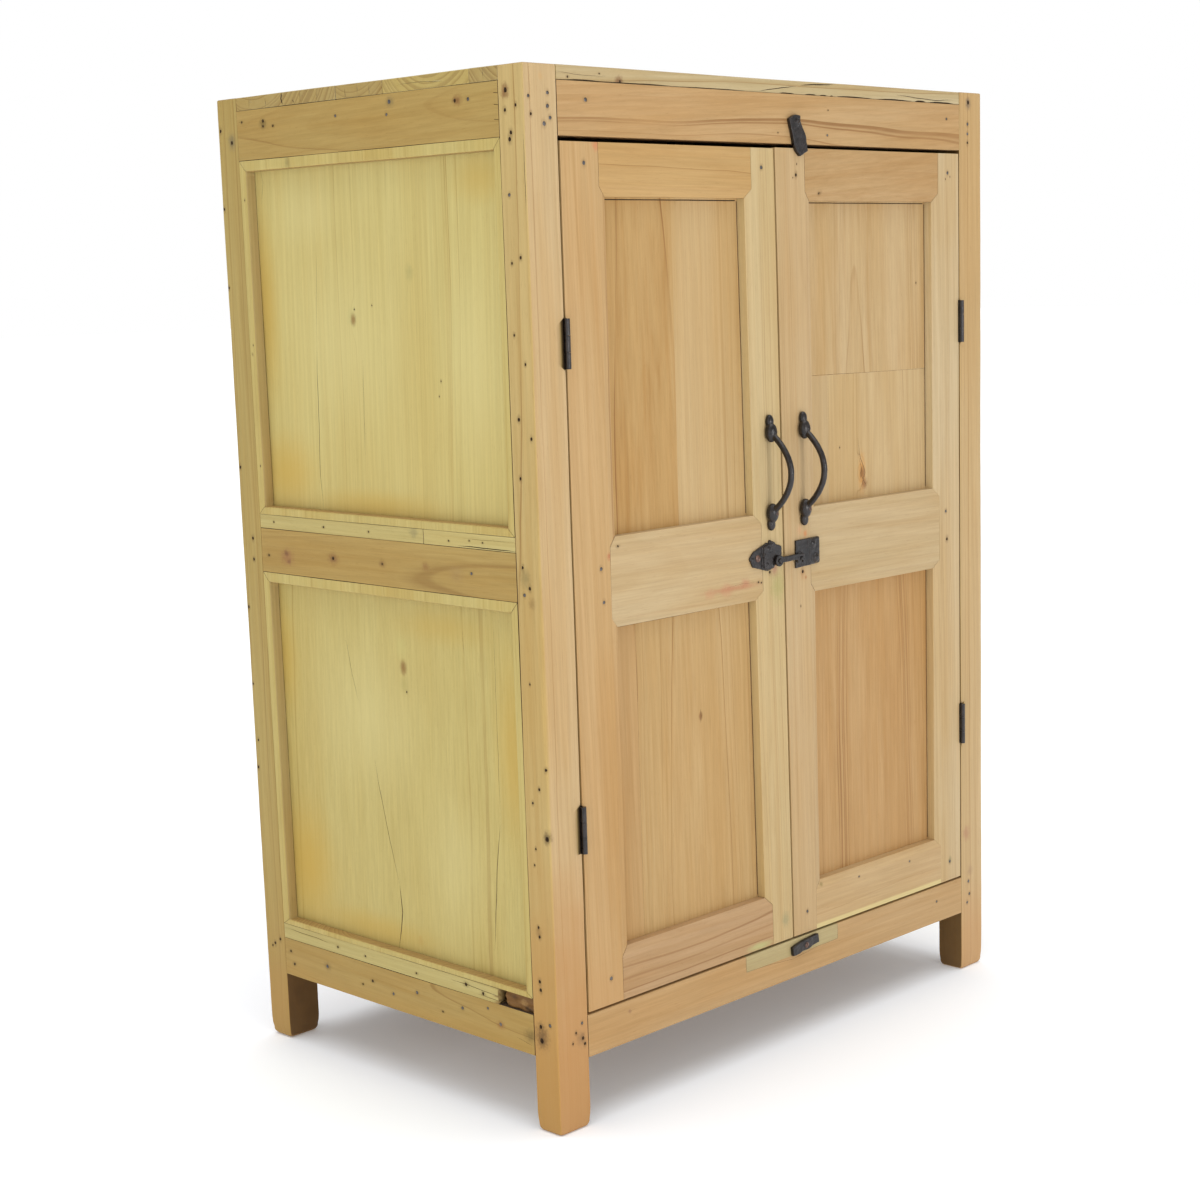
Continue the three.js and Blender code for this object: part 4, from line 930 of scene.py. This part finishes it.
# post, worn foot and irregularly worn corners, lofted ring by ring
def post_mesh(node, seed, worn):
    lo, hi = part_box(node)
    lo, hi = Vector(lo) * 1000, Vector(hi) * 1000
    cx, cy = (lo.x + hi.x) / 2, (lo.y + hi.y) / 2
    hx, hy = (hi.x - lo.x) / 2, (hi.y - lo.y) / 2
    zs = [0, 0.8, 2, 4, 6.5, 10, 15, 22, 30] + [30 + (1198.6 - 30) * k / 118 for k in range(1, 119)] + [1199.4, 1200]
    foot = [(0, 5.0, 4.0), (0.8, 3.2, 3.6), (2, 2.1, 3.2), (4, 1.3, 2.8), (6.5, 0.8, 2.5), (10, 0.7, 2.3), (15, 0.25, 1.9), (22, 0.0, 1.6), (30, 0.0, 1.4)]
    if node == "post_back_left":
        foot = [(a, b * 1.6, c) for a, b, c in foot]
    bm = bmesh.new()
    rings = []
    corners = [(-1, -1), (1, -1), (1, 1), (-1, 1)]
    for z in zs:
        inset, extra = 0.0, 0.0
        for (a, ia, ra), (b, ib, rb) in zip(foot[:-1], foot[1:]):
            if a <= z <= b:
                k = (z - a) / (b - a)
                inset, extra = ia + (ib - ia) * k, (ra + (rb - ra) * k) - 1.4
        top = 0.0 if z < 1198.7 else (0.25 if z < 1199.6 else 1.0)
        ring = []
        for ci, (sx, sy) in enumerate(corners):
            n1 = noise.noise(Vector((z / 130, seed * 3 + ci * 5.1, 1.7)))
            n2 = noise.noise(Vector((z / 24, seed * 3 + ci * 5.1, 8.3)))
            base, amount = worn.get((sx, sy), (1.3, 0.8))
            bump = 0
            for zc, zr, am in worn.get(("spots", sx, sy), ()):
                bump += am * math.exp(-((z - zc) / zr) ** 2)
            r = max(0.7, base + amount * n1 + 0.4 * amount * n2 + bump + extra)
            ax, ay = cx + sx * (hx - inset - top), cy + sy * (hy - inset - top)
            arc = []
            for k in range(5):
                a = k / 4 * math.pi / 2
                # flatter than a circle: hand-worn edge
                ux, uy = math.sin(a), math.cos(a)
                arc.append((ax - sx * r * (1 - ux) * 0.94, ay - sy * r * (1 - uy) * 0.94))
            if (sx, sy) in ((-1, -1), (1, 1)):
                arc = list(reversed(arc))
            ring.append(arc)
        pts = []
        for ci in range(4):
            arc, nxt = ring[ci], ring[(ci + 1) % 4]
            pts += arc
            a, b = Vector(arc[-1]), Vector(nxt[0])
            for k in (1, 2, 3):
                pts.append(tuple(a.lerp(b, k / 4)))
        rings.append([bm.verts.new((x / 1000, y / 1000, z / 1000)) for x, y in pts])
    n = len(rings[0])
    for a, b in zip(rings[:-1], rings[1:]):
        for i in range(n):
            j = (i + 1) % n
            bm.faces.new((a[i], a[j], b[j], b[i]))
    bm.faces.new(list(reversed(rings[0])))
    bm.faces.new(rings[-1])
    bmesh.ops.recalc_face_normals(bm, faces=bm.faces[:])
    return bm


def add_leaf_slots(node):
    sx = 1 if node.endswith("right") else -1
    for z in (903.0, 355.0):
        x0, x1 = 360.0, 366.0 + 1.4 + 0.1
        a, b = sorted((sx * x0, sx * x1))
        lo, hi = P(a, FRONT - 3, z - 27.8), P(b, FRONT + 20.4, z + 27.8)
        m = bmesh.ops.create_cube(cutter(node), size=1.0)
        for v in m["verts"]:
            v.co = Vector([lo[i] + (v.co[i] + 0.5) * (hi[i] - lo[i]) for i in range(3)])


def finish_board(node, bm, mats, seed, amp=0.35, extra_regions=(), fine=0.06):
    wavy(bm, seed, amp, grain_of(node), fine)
    for f in bm.faces:
        c = f.calc_center_median() * 1000
        for k, (i, lo, hi, j, lo2, hi2) in enumerate(extra_regions):
            v, w = c[i] - (SHIFT if i == 1 else 0), c[j] - (SHIFT if j == 1 else 0)
            if lo <= v <= hi and lo2 <= w <= hi2 and f.material_index == 0:
                f.material_index = k + 1
    me = bpy.data.meshes.new(node)
    bm.to_mesh(me)
    bm.free()
    for m in mats:
        me.materials.append(m)
    if node in CUTS:
        me = carve(me, CUTS.pop(node))
    return piece("wood_" + node, me, BODY[node], (node,), weighted=True)


def board(node, mats, seed, steps, tight=0.45, free=1.5, soft=3.0, amp=0.35, cuts=(), regions=(), foot=None, joints=None):
    bm = bevelled(source(node), node, tight, free, soft, foot=foot)
    if joints is not None:      # old dirt in the joints, on the narrow faces that meet another board
        mats = [*mats, DARK]
        for f in bm.faces:
            if abs(f.normal[joints]) < 0.9 and near_other(f.calc_center_median(), node, 0.0009):
                f.material_index = len(mats) - 1
    sliced(bm, steps)
    for i, at in cuts:
        co = Vector((0, 0, 0))
        co[i] = (at + (SHIFT if i == 1 else 0)) / 1000
        no = Vector((0, 0, 0))
        no[i] = 1
        bmesh.ops.bisect_plane(bm, geom=bm.verts[:] + bm.edges[:] + bm.faces[:], dist=1e-6, plane_co=co, plane_no=no)
    return finish_board(node, bm, mats, seed, amp, regions)


# colours are the photographed sRGB values divided by the light, tuned by render
C_POST, C_POST_B = (206, 176, 128), (186, 158, 102)
C_RAIL, C_PANEL, C_FILL = (186, 154, 98), (214, 194, 138), (200, 180, 128)
C_DOOR, C_DPANEL, C_FRAIL = (204, 170, 118), (202, 168, 114), (198, 162, 112)
C_TOP, C_INSIDE = (198, 178, 134), (150, 116, 74)
# painted light: the side tint that makes faces looking along X lighter and yellower, as the warm light from the left
# shows them
SIDE_LIGHT_YELLOW = (1.05, 1.09, 0.86)
# painted light: brightens the X-facing reveal walls of the door stiles, in place of the light that their recess shades
REVEAL_PAINTED_LIGHT = (1.18, 1.22, 1.20)


def build_posts():
    worn_fl = {(-1, -1): (2.4, 1.6), (1, -1): (1.3, 0.7), ("spots", -1, -1): [(590, 26, 5.6), (540, 30, 3.0), (500, 34, 6.0), (440, 45, 4.2), (660, 30, 2.2), (380, 30, 2.6), (300, 60, 2.2), (120, 40, 1.2)]}
    worn = {(-1, -1): (1.7, 1.0), (1, -1): (1.7, 1.0), (1, 1): (1.8, 1.0), (-1, 1): (1.8, 1.0)}
    looks = {
        "post_front_left": dict(inner=((0, 1), (1, 1)), color=C_POST, pith=(70, 26), tilt=(0.5, 0.8), spacing=5.5, lines=0.55, figure=16, streak=0.5, mottle=0.7, painted_side_light=SIDE_LIGHT_YELLOW,
                                grads=[("z", 420, 60, (176, 126, 70), 0.80)], seed=3.1),
        "post_front_right": dict(inner=((0, -1), (1, 1)), color=C_POST, pith=(60, 40), tilt=(0.4, 0.7), spacing=5.0, lines=0.5, figure=14, streak=0.5, mottle=0.6, painted_side_light=SIDE_LIGHT_YELLOW,
                                 grads=[("z", 160, 20, (186, 140, 92), 0.6)], seed=5.7),
        "post_back_left": dict(inner=((0, 1), (1, -1)), color=C_POST_B, pith=(50, 60), tilt=(0.4, 0.8), spacing=5.0, lines=0.55, figure=16, streak=0.6, mottle=0.6, painted_side_light=SIDE_LIGHT_YELLOW,
                               grads=[("z", 200, 30, (170, 128, 76), 0.7)], seed=8.9),
        "post_back_right": dict(inner=((0, -1), (1, -1)), color=C_POST_B, pith=(60, 50), tilt=(0.5, 0.6), spacing=5.4, lines=0.5, figure=16, streak=0.6, mottle=0.6, painted_side_light=SIDE_LIGHT_YELLOW,
                                grads=[("z", 200, 30, (170, 128, 76), 0.7)], seed=11.3),
    }
    for k, (node, kw) in enumerate(looks.items()):
        if "front" in node:
            add_leaf_slots(node)
        bm = post_mesh(node, k + 1.0, worn_fl if node == "post_front_left" else worn)
        finish_board(node, bm, [look(node, **kw)], 20 + k, 0.45, fine=0.10)


def build_front_rails():
    n = "rail_front_top"
    board(n, [look(n, C_FRAIL, pith=(-52, 34), tilt=(2.6, -3.2), spacing=8.0, lines=0.75, figure=26, streak=0.45, mottle=0.6, seed=2.2)], 31, (24, None, 15), free=1.4, joints=1)
    n = "rail_front_bottom"
    patch = look(n, (190, 172, 124), pith=(80, 60), tilt=(0.6, 0.2), spacing=4.0, lines=0.3, figure=8, streak=0.3, mottle=0.3, seed=7.9, mat="pine_patch")
    board(n, [look(n, C_FRAIL, pith=(34, 66), tilt=(1.4, 0.8), spacing=7.0, lines=0.5, figure=22, streak=0.45, mottle=0.6, seed=4.6), patch], 32, (24, None, 12),
          free=1.6, joints=1, cuts=[(0, -89), (0, 91.3), (2, 113.8)], regions=[(0, -89, 91.3, 2, 113.8, 140)])


def build_sides():
    for side in ("left", "right"):
        sd = 0.0 if side == "left" else 20.0
        for lv, kw in {
            "top": dict(color=C_RAIL, pith=(10, 58), tilt=(2.4, 1.6), spacing=6.5, lines=0.55, figure=22, streak=0.6, mottle=0.6),
            "middle": dict(color=C_RAIL, pith=(-18, 64), tilt=(1.8, 1.0), spacing=6.5, lines=0.5, figure=22, streak=0.7, mottle=0.7),
            "bottom": dict(color=C_RAIL, pith=(20, 60), tilt=(1.8, -1.0), spacing=6.0, lines=0.5, figure=22, streak=0.7, mottle=0.7, grads=[("z", 118, 88, (172, 134, 78), 0.5)]),
        }.items():
            n = f"rail_{side}_{lv}"
            board(n, [look(n, seed=sd + 1.3 + len(lv), painted_side_light=SIDE_LIGHT_YELLOW, **kw)], sd + len(lv), (None, 24, 15), free=1.4, joints=0)
        n = f"panel_{side}_upper"
        board(n, [look(n, C_PANEL, pith=(150, 24), tilt=(0.5, 1.4), spacing=15.0, lines=0.45, figure=30, streak=0.12, mottle=0.35, seed=sd + 6.2, painted_side_light=SIDE_LIGHT_YELLOW,
                       knots=[((SIDE + PF, 48, 932), 7)] if side == "left" else ())], sd + 3, (None, 26, 30), free=0.5, amp=0.5)
        n = f"panel_{side}_lower"
        board(n, [look(n, (207, 186, 129), pith=(40, 52), tilt=(3.2, 1.0), spacing=14.0, lines=0.30, figure=40, streak=0.12, mottle=0.35, seed=sd + 9.4, painted_side_light=SIDE_LIGHT_YELLOW,
                       knots=[((SIDE + PF, -14, 520), 9)] if side == "left" else ())], sd + 4, (None, 26, 30), free=0.5, amp=0.5)
        for lv in ("upper", "lower"):
            n = f"moulding_{side}_{lv}"
            board(n, [look(n, (205, 182, 124), pith=(90, 60), tilt=(0.2, 0.3), spacing=5.0, lines=0.3, figure=10, streak=0.4, mottle=0.6, seed=sd + len(lv) + 2.2, painted_side_light=SIDE_LIGHT_YELLOW)],
                  sd + 5, (None, 20, 20), tight=0.5, free=1.1, soft=1.0, amp=0.4, joints=0)
    n = "filler_left_middle"
    board(n, [look(n, C_FILL, pith=(60, 44), tilt=(0.7, 0.4), spacing=4.6, lines=0.4, figure=12, streak=0.5, mottle=0.5, seed=3.9, painted_side_light=SIDE_LIGHT_YELLOW),
              look(n, (208, 190, 140), pith=(40, 70), tilt=(0.7, 0.4), spacing=5.6, lines=0.4, figure=12, streak=0.4, mottle=0.5, seed=13.9, painted_side_light=SIDE_LIGHT_YELLOW, mat="pine_filler_short")],
          44, (None, 22, 9), free=0.8, cuts=[(1, -79.6)], regions=[(1, -300, -79.6, 2, 600, 700)])
    # the lower filler is broken off short of the front post, on a rough dark end
    n = "filler_left_bottom"
    bm = bevelled(source(n), n, 0.45, 0.8, 1.0)
    co = P(0, -185.6, 0)
    r = bmesh.ops.bisect_plane(bm, geom=bm.verts[:] + bm.edges[:] + bm.faces[:], dist=1e-6, plane_co=co, plane_no=(0, -1, 0.06), clear_outer=True)
    bmesh.ops.holes_fill(bm, edges=[e for e in r["geom_cut"] if isinstance(e, bmesh.types.BMEdge)])
    sliced(bm, (None, 22, 9))
    finish_board(n, bm, [look(n, C_FILL, pith=(60, 50), tilt=(0.9, 0.4), spacing=4.6, lines=0.5, figure=14, streak=0.6, mottle=0.6, seed=15.1, painted_side_light=SIDE_LIGHT_YELLOW)], 45)
    bm = bmesh.new()
    m = bmesh.ops.create_cube(bm, size=1.0)
    lo, hi = P(SIDE + 2.6, -236.0, 139.4), P(SIDE + 17, -186.6, 158.0)
    for v in m["verts"]:
        v.co = Vector([lo[i] + (v.co[i] + 0.5) * (hi[i] - lo[i]) for i in range(3)])
    bmesh.ops.subdivide_edges(bm, edges=bm.edges[:], cuts=11, use_grid_fill=True)
    for v in bm.verts:
        d = noise.noise_vector(v.co * 130 + Vector((3, 1, 7))) * 0.0012 + noise.noise_vector(v.co * 420) * 0.0006
        d.x += 0.0030 * (0.5 + noise.noise(Vector((v.co.y * 70, v.co.z * 220, 4.4))))
        v.co += Vector((d.x, d.y * 0.4, d.z * 0.4))
    me = bpy.data.meshes.new("broken_end")
    bm.to_mesh(me)
    mat = wood("pine_broken_end", (132, 92, 50), ("y", "z", "x"), (SIDE + 8, -211, 148), 31.7, (10, 20), (2, 3), 4.0, 0.9, 20, 1.0, 0.8,
               [((SIDE + 3, -226, 143), (6, 12, 6), (52, 34, 18), 0.9, 0.1, 0.9), ((SIDE + 3, -199, 152), (6, 10, 5), (70, 46, 26), 0.8, 0.1, 0.9), ((SIDE + 3, -215, 149), (6, 12, 5), (176, 136, 92), 0.7, 0.1, 0.9)], painted_side_light=SIDE_LIGHT_YELLOW, bump=0.8)
    me.materials.append(mat)
    piece("wood_filler_broken_end", me, "carcass", (), weighted=True)


def build_top():
    for k in range(1, 5):
        n = f"top_board_{k}"
        col = C_TOP if k != 2 else (210, 192, 140)
        board(n, [look(n, col, pith=(20 * k - 50, 40 + 12 * k), tilt=(1.0, 0.5 * k - 1), spacing=6.5, lines=0.6, figure=24, streak=0.6, mottle=0.7, seed=k * 3.3, painted_side_light=SIDE_LIGHT_YELLOW)],
              50 + k, (22, 20, 8), tight=0.7, free=1.7, amp=0.5)


def build_inside():
    for k in range(1, 4):
        n = f"back_board_{k}"
        board(n, [look(n, C_INSIDE, pith=(30 * k - 40, 50), tilt=(1.6, 0.6), spacing=7.5, lines=0.7, figure=26, streak=0.7, mottle=0.7, seed=k * 2.9 + 1)], 60 + k, (30, None, 30), free=1.2, amp=0.45)
    for k, n in enumerate(("shelf", "floor_board")):
        board(n, [look(n, C_INSIDE, pith=(40 - 90 * k, 60), tilt=(1.2, 1.6), spacing=7.0, lines=0.6, figure=26, streak=0.7, mottle=0.7, seed=k * 4.9 + 6)], 66 + k, (30, 30, None), free=1.4, amp=0.4)


def build_doors():
    D, N = "pine_doors", C_DOOR
    for side in ("left", "right"):
        s = f"door_{side}_"
        L = side == "left"
        stiles = {
            "hinge_stile": dict(color=(202, 165, 112) if L else (208, 184, 142), pith=(60, 30) if L else (-90, 60), tilt=(0.6, 1.7 if L else 0.5), spacing=6.0, lines=0.7 if L else 0.4,
                                figure=20, streak=0.5, mottle=0.7, grads=[("z", 260, 120, (184, 142, 92), 0.55)] if L else [], seed=4.4 if L else 14.4),
            "meeting_stile": dict(color=(206, 180, 130) if L else (202, 172, 126), pith=(-70, 40), tilt=(0.4, 0.9), spacing=5.5, lines=0.4, figure=16, streak=0.5, mottle=0.6, seed=6.1 if L else 16.6),
        }
        for k, (nm, kw) in enumerate(stiles.items()):
            # the stiles' faces that look along X, the reveal walls, are painted lighter here: painted light in place of
            # the light that the recess shades
            board(s + nm, [look(s + nm, painted_side_light=REVEAL_PAINTED_LIGHT, **kw)], 70 + k + (0 if L else 5), (14, None, 22), free=1.2, soft=2.2, foot=2.6)
        rails = {
            "top_rail": dict(color=(200, 162, 104) if L else (192, 156, 106), pith=(-30, 70) if L else (-46, 22), tilt=(1.4, 0.6) if L else (5.0, -5.5), spacing=6.0, lines=0.5 if L else 1.0, figure=18 if L else 24, streak=0.5, mottle=0.5),
            "middle_rail": dict(color=(203, 177, 133) if L else (200, 174, 130), pith=(10, 90), tilt=(1.3, 0.5), spacing=7.0, lines=0.4, figure=22, streak=0.45, mottle=0.6),
            "bottom_rail": dict(grads=[] if L else [("z", 144.5, 142.0, (206, 190, 132), 0.75)], color=(192, 156, 112) if L else (204, 174, 128), pith=(30, 66), tilt=(1.7, 1.2), spacing=6.5, lines=0.5, figure=22, streak=0.5, mottle=0.6),
        }
        for k, (nm, kw) in enumerate(rails.items()):
            board(s + nm, [look(s + nm, seed=k * 3.7 + (2 if L else 9), **kw)], 80 + k + (0 if L else 5), (22, None, 14), tight=0.6, free=1.2, soft=2.2, foot=2.6, joints=1)
    n = "door_left_upper_panel"
    a = look(n, (196, 158, 100), pith=(10, 26), tilt=(2.6, 0.8), spacing=8.0, lines=0.6, figure=34, streak=0.95, mottle=0.7, seed=5.3, centre=(-235, FRONT + 17, 870))
    b = look(n, (204, 173, 122), pith=(-120, 50), tilt=(0.5, 0.5), spacing=9.0, lines=0.4, figure=16, streak=0.35, mottle=0.5, seed=17.3, mat="pine_left_upper_pale")
    board(n, [a, b], 90, (22, None, 26), free=0.5, amp=0.4, cuts=[(0, -176)], regions=[(0, -176, 0, 2, 600, 1100)])
    n = "door_left_lower_panel"
    a = look(n, (200, 166, 112), pith=(20, 44), tilt=(1.9, 0.9), spacing=9.0, lines=0.7, figure=24, streak=0.5, mottle=0.6, seed=8.8, knots=[((-146, FRONT + PF, 449), 5)])
    b = look(n, (194, 156, 102), pith=(-90, 40), tilt=(1.2, 1.4), spacing=7.0, lines=0.6, figure=16, streak=0.6, mottle=0.6, seed=18.8, mat="pine_left_lower_narrow")
    board(n, [a, b], 91, (22, None, 26), free=0.5, amp=0.4, cuts=[(0, -254.2)], regions=[(0, -400, -254.2, 2, 100, 600)])
    n = "door_right_upper_panel"
    a = look(n, (202, 172, 124), pith=(-20, 30), tilt=(2.8, 0.8), spacing=9.0, lines=0.5, figure=30, streak=0.6, mottle=0.7, seed=9.9)
    b = look(n, (204, 176, 128), pith=(30, 56), tilt=(1.4, 0.4), spacing=10.0, lines=0.4, figure=24, streak=0.35, mottle=0.6, seed=19.9, knots=[((172, FRONT + PF, 716), 8)], mat="pine_right_upper_low")
    c = look(n, (198, 168, 120), pith=(120, 56), tilt=(0.4, 0.4), spacing=7.0, lines=0.4, figure=12, streak=0.5, mottle=0.5, seed=29.9, mat="pine_right_upper_strip")
    board(n, [a, b, c], 92, (22, None, 26), free=0.5, amp=0.4, cuts=[(0, 103.4), (2, 844.2)], regions=[(0, 103.4, 400, 2, 600, 844.2), (0, 0, 103.4, 2, 600, 844.2)])
    n = "door_right_lower_panel"
    board(n, [look(n, (198, 160, 108), pith=(8, 30), tilt=(2.2, 0.7), spacing=8.0, lines=0.75, figure=28, streak=0.7, mottle=0.6, seed=12.1)], 93, (22, None, 26), free=0.5, amp=0.4)


# ---------------------------------------------------------------- iron work
def dome(bm, at, out, r, h, n=14, rings=4, seed=0.0, rough=0.06):
    out = Vector(out).normalized()
    a = Vector((0, 0, 1)) if abs(out.z) < 0.9 else Vector((1, 0, 0))
    u = a.cross(out).normalized()
    w = out.cross(u)
    loops = []
    for k in range(rings + 1):
        t = k / rings * math.pi / 2
        rr, hh = r * math.cos(t), h * math.sin(t)
        if k == rings:
            break
        loop = []
        for i in range(n):
            g = 2 * math.pi * i / n
            j = 1 + rough * noise.noise(Vector((i * 0.9, seed, at.x * 50)))
            loop.append(bm.verts.new(at + (u * math.cos(g) + w * math.sin(g)) * rr * j + out * hh))
        loops.append(loop)
    base = [bm.verts.new(v.co - out * r * 0.5) for v in loops[0]]
    tip = bm.verts.new(at + out * h)
    allr = [base] + loops
    for p, q in zip(allr[:-1], allr[1:]):
        for i in range(n):
            j = (i + 1) % n
            bm.faces.new((p[i], p[j], q[j], q[i]))
    for i in range(n):
        bm.faces.new((loops[-1][i], loops[-1][(i + 1) % n], tip))
    bm.faces.new(list(reversed(base)))


def build_heads():
    for body, items in HEADS.items():
        bm = bmesh.new()
        for k, (at, out, r) in enumerate(items):
            dome(bm, at - out * 0.0004, out, r / 1000, r / 1000 * 0.30, 12, 3, seed=k * 1.3, rough=0.10)
        bmesh.ops.recalc_face_normals(bm, faces=bm.faces[:])
        me = bpy.data.meshes.new("nail_heads_" + body)
        bm.to_mesh(me)
        me.materials.append(NAIL)
        piece("nail_heads_" + body, me, body, (), weighted=False)


PIVOT = (-21.00, 625.00)     # of the latch arm


# CAD solids and extra lumps melted together, softened and hammered
def forged(name, nodes, extra, voxel, soften, hammer, mats=None, wave=0.006, fine=0.05, grow=0.0, limit=None):
    bm = bmesh.new()
    for n in nodes:
        merge(bm, source(n))
    if extra is not None:
        merge(bm, extra)
    bmesh.ops.recalc_face_normals(bm, faces=bm.faces[:])
    o = temp(bm)
    r = o.modifiers.new("remesh", "REMESH")
    r.mode = "VOXEL"
    r.voxel_size = voxel / 1000
    s = o.modifiers.new("smooth", "SMOOTH")
    s.factor = 0.5
    s.iterations = soften
    me = evaluated(o)
    drop(o)
    bm = bmesh.new()
    bm.from_mesh(me)
    bm.normal_update()
    for v in bm.verts:
        k = noise.noise(v.co / wave) * hammer + noise.noise(v.co / 0.0016 + Vector((5, 5, 5))) * fine
        v.co += v.normal * ((k + grow) / 1000)
        if limit:
            v.co.y = limit(v.co.x * 1000, v.co.y * 1000 - SHIFT, v.co.z * 1000) / 1000 + SHIFT / 1000
    bm.to_mesh(me)
    return piece(name, me, BODY[nodes[0]], nodes, mats or [IRON], weighted=False)


# keep the relief of the latch plate out of the way of the arm, which turns up by 75 degrees
def under_arm(x, y, z):
    dx, dz = x - PIVOT[0], z - PIVOT[1]
    r, a = math.hypot(dx, dz), math.degrees(math.atan2(dz, dx))
    if 3.3 < r < 9.0 or (r >= 9.0 and -35 < a < 112):
        return max(y, FRONT - 5.25)
    return y


# and the backs of the turn buttons off the boards they turn on
def off_board(x, y, z):
    return min(y, FRONT - 0.85)


def slot_groove(bm, at, r, ang):
    """small box cutter for a screw slot lying in the XZ plane"""
    m = bmesh.ops.create_cube(bm, size=1.0)
    c, s = math.cos(ang), math.sin(ang)
    for v in m["verts"]:
        x, y, z = v.co.x * r * 2.3, v.co.y * 0.0012, v.co.z * 0.0008
        v.co = at + Vector((x * c - z * s, y, x * s + z * c))


def screw(name, body, xz, y, r, ang, mat):
    bm = bmesh.new()
    at = P(xz[0], y, xz[1])
    dome(bm, at, (0, -1, 0), r / 1000, r / 1000 * 0.36, 20, 5, seed=xz[0], rough=0.05)
    bmesh.ops.recalc_face_normals(bm, faces=bm.faces[:])
    me = bpy.data.meshes.new(name)
    bm.to_mesh(me)
    me.materials.append(mat)
    cut = bmesh.new()
    slot_groove(cut, P(xz[0], y - r * 0.34, xz[1]), r / 1000, ang)
    me = carve(me, cut)
    piece(name, me, body, (), weighted=False)


def build_iron():
    for side, x in (("left", -29.5), ("right", 33.5)):
        forged(f"iron_handle_{side}", [f"handle_{side}"], None, 0.75, 5, 0.18, grow=0.5)
        for lv, sg in (("upper", 1), ("lower", -1)):
            screw(f"rivet_{side}_{lv}", f"{side}_door", (x + 1.2, 733.5 + sg * 49.5), FRONT - 0.3 - 11.2, 2.9, 0.4 + sg, RUSTY if sg < 0 else IRON)
    # latch plate: dents and a lip on the raised block
    ex = bmesh.new()
    for x, z, r, h in ((-37, 640, 6.5, 6.4), (-20, 637.5, 6.0, 6.2), (-28, 645.5, 4.5, 6.0), (-41, 622, 5.0, 6.0), (-30, 619.5, 4.0, 5.8), (-45, 634, 3.4, 6.4)):
        dome(ex, P(x, FRONT - 0.8, z), (0, -1, 0), r / 1000, h / 1000, 12, 4, seed=x)
    for x, z, r, h in ((-66, 630.5, 3.0, 3.2), (-31, 649.0, 2.6, 3.6)):
        dome(ex, P(x, FRONT - 0.6, z), (0, -1, 0), r / 1000, h / 1000, 10, 3, seed=x)
    forged("iron_latch_plate", ["latch_plate"], ex, 0.55, 3, 0.35, wave=0.004, fine=0.10, limit=under_arm)
    screw("latch_screw", "left_door", (-55.2, 631.0), FRONT - 2.6, 4.4, 1.1, RUSTY)
    ex = bmesh.new()
    for x, z, r, h in ((47.7, 638.6, 6.6, 6.2), (52.8, 620.6, 7.4, 7.0), (24.0, 627.5, 3.8, 4.8)):
        dome(ex, P(x, FRONT - 0.8, z), (0, -1, 0), r / 1000, h / 1000, 14, 4, seed=x)
    m = bmesh.ops.create_cube(ex, size=1.0)
    lo, hi = P(42.0, FRONT - 4.3, 614.0), P(61.0, FRONT - 1.0, 645.4)
    for v in m["verts"]:
        v.co = Vector([lo[i] + (v.co[i] + 0.5) * (hi[i] - lo[i]) for i in range(3)])
    forged("iron_latch_keeper", ["latch_keeper"], ex, 0.55, 3, 0.25, wave=0.004, fine=0.08)
    forged("iron_latch_hook", ["latch_hook"], None, 0.5, 3, 0.16, wave=0.005, fine=0.05)
    forged("iron_turn_button_top", ["turn_button_top"], None, 0.55, 4, 0.35, wave=0.005, fine=0.10, limit=off_board)
    forged("iron_turn_button_bottom", ["turn_button_bottom"], None, 0.55, 4, 0.35, wave=0.005, fine=0.10, limit=off_board)
    screw("button_screw_top", "turn_button_top", (29.8, 1152.2), FRONT - 6.4, 3.7, 0.8, IRON)
    screw("button_screw_bottom", "turn_button_bottom", (21.5, 123.8), FRONT - 6.4, 3.7, 2.0, RUSTY)
    for node in [n for n in NODES if n.startswith("hinge_")]:
        bm = bevelled(source(node), node, 0.2, 0.25, 0.1, 2)
        me = bpy.data.meshes.new(node)
        bm.to_mesh(me)
        me.materials.append(IRON)
        piece("iron_" + node, me, BODY[node], (node,), weighted=True)


make_camera()
make_stage()
build_posts()
build_front_rails()
build_sides()
build_top()
build_inside()
build_doors()
build_heads()
build_iron()

scene.view_settings.view_transform = "Standard"
scene.view_settings.look = "None"
bpy.context.view_layer.update()


def plain(b):
    if isinstance(b, dict):
        return {k: plain(v) for k, v in b.items()}
    if isinstance(b, (Vector, tuple, list)):
        return [plain(v) for v in b]
    return float(b)


{"cad": plain(CAD_BOX), "visual": plain(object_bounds())}
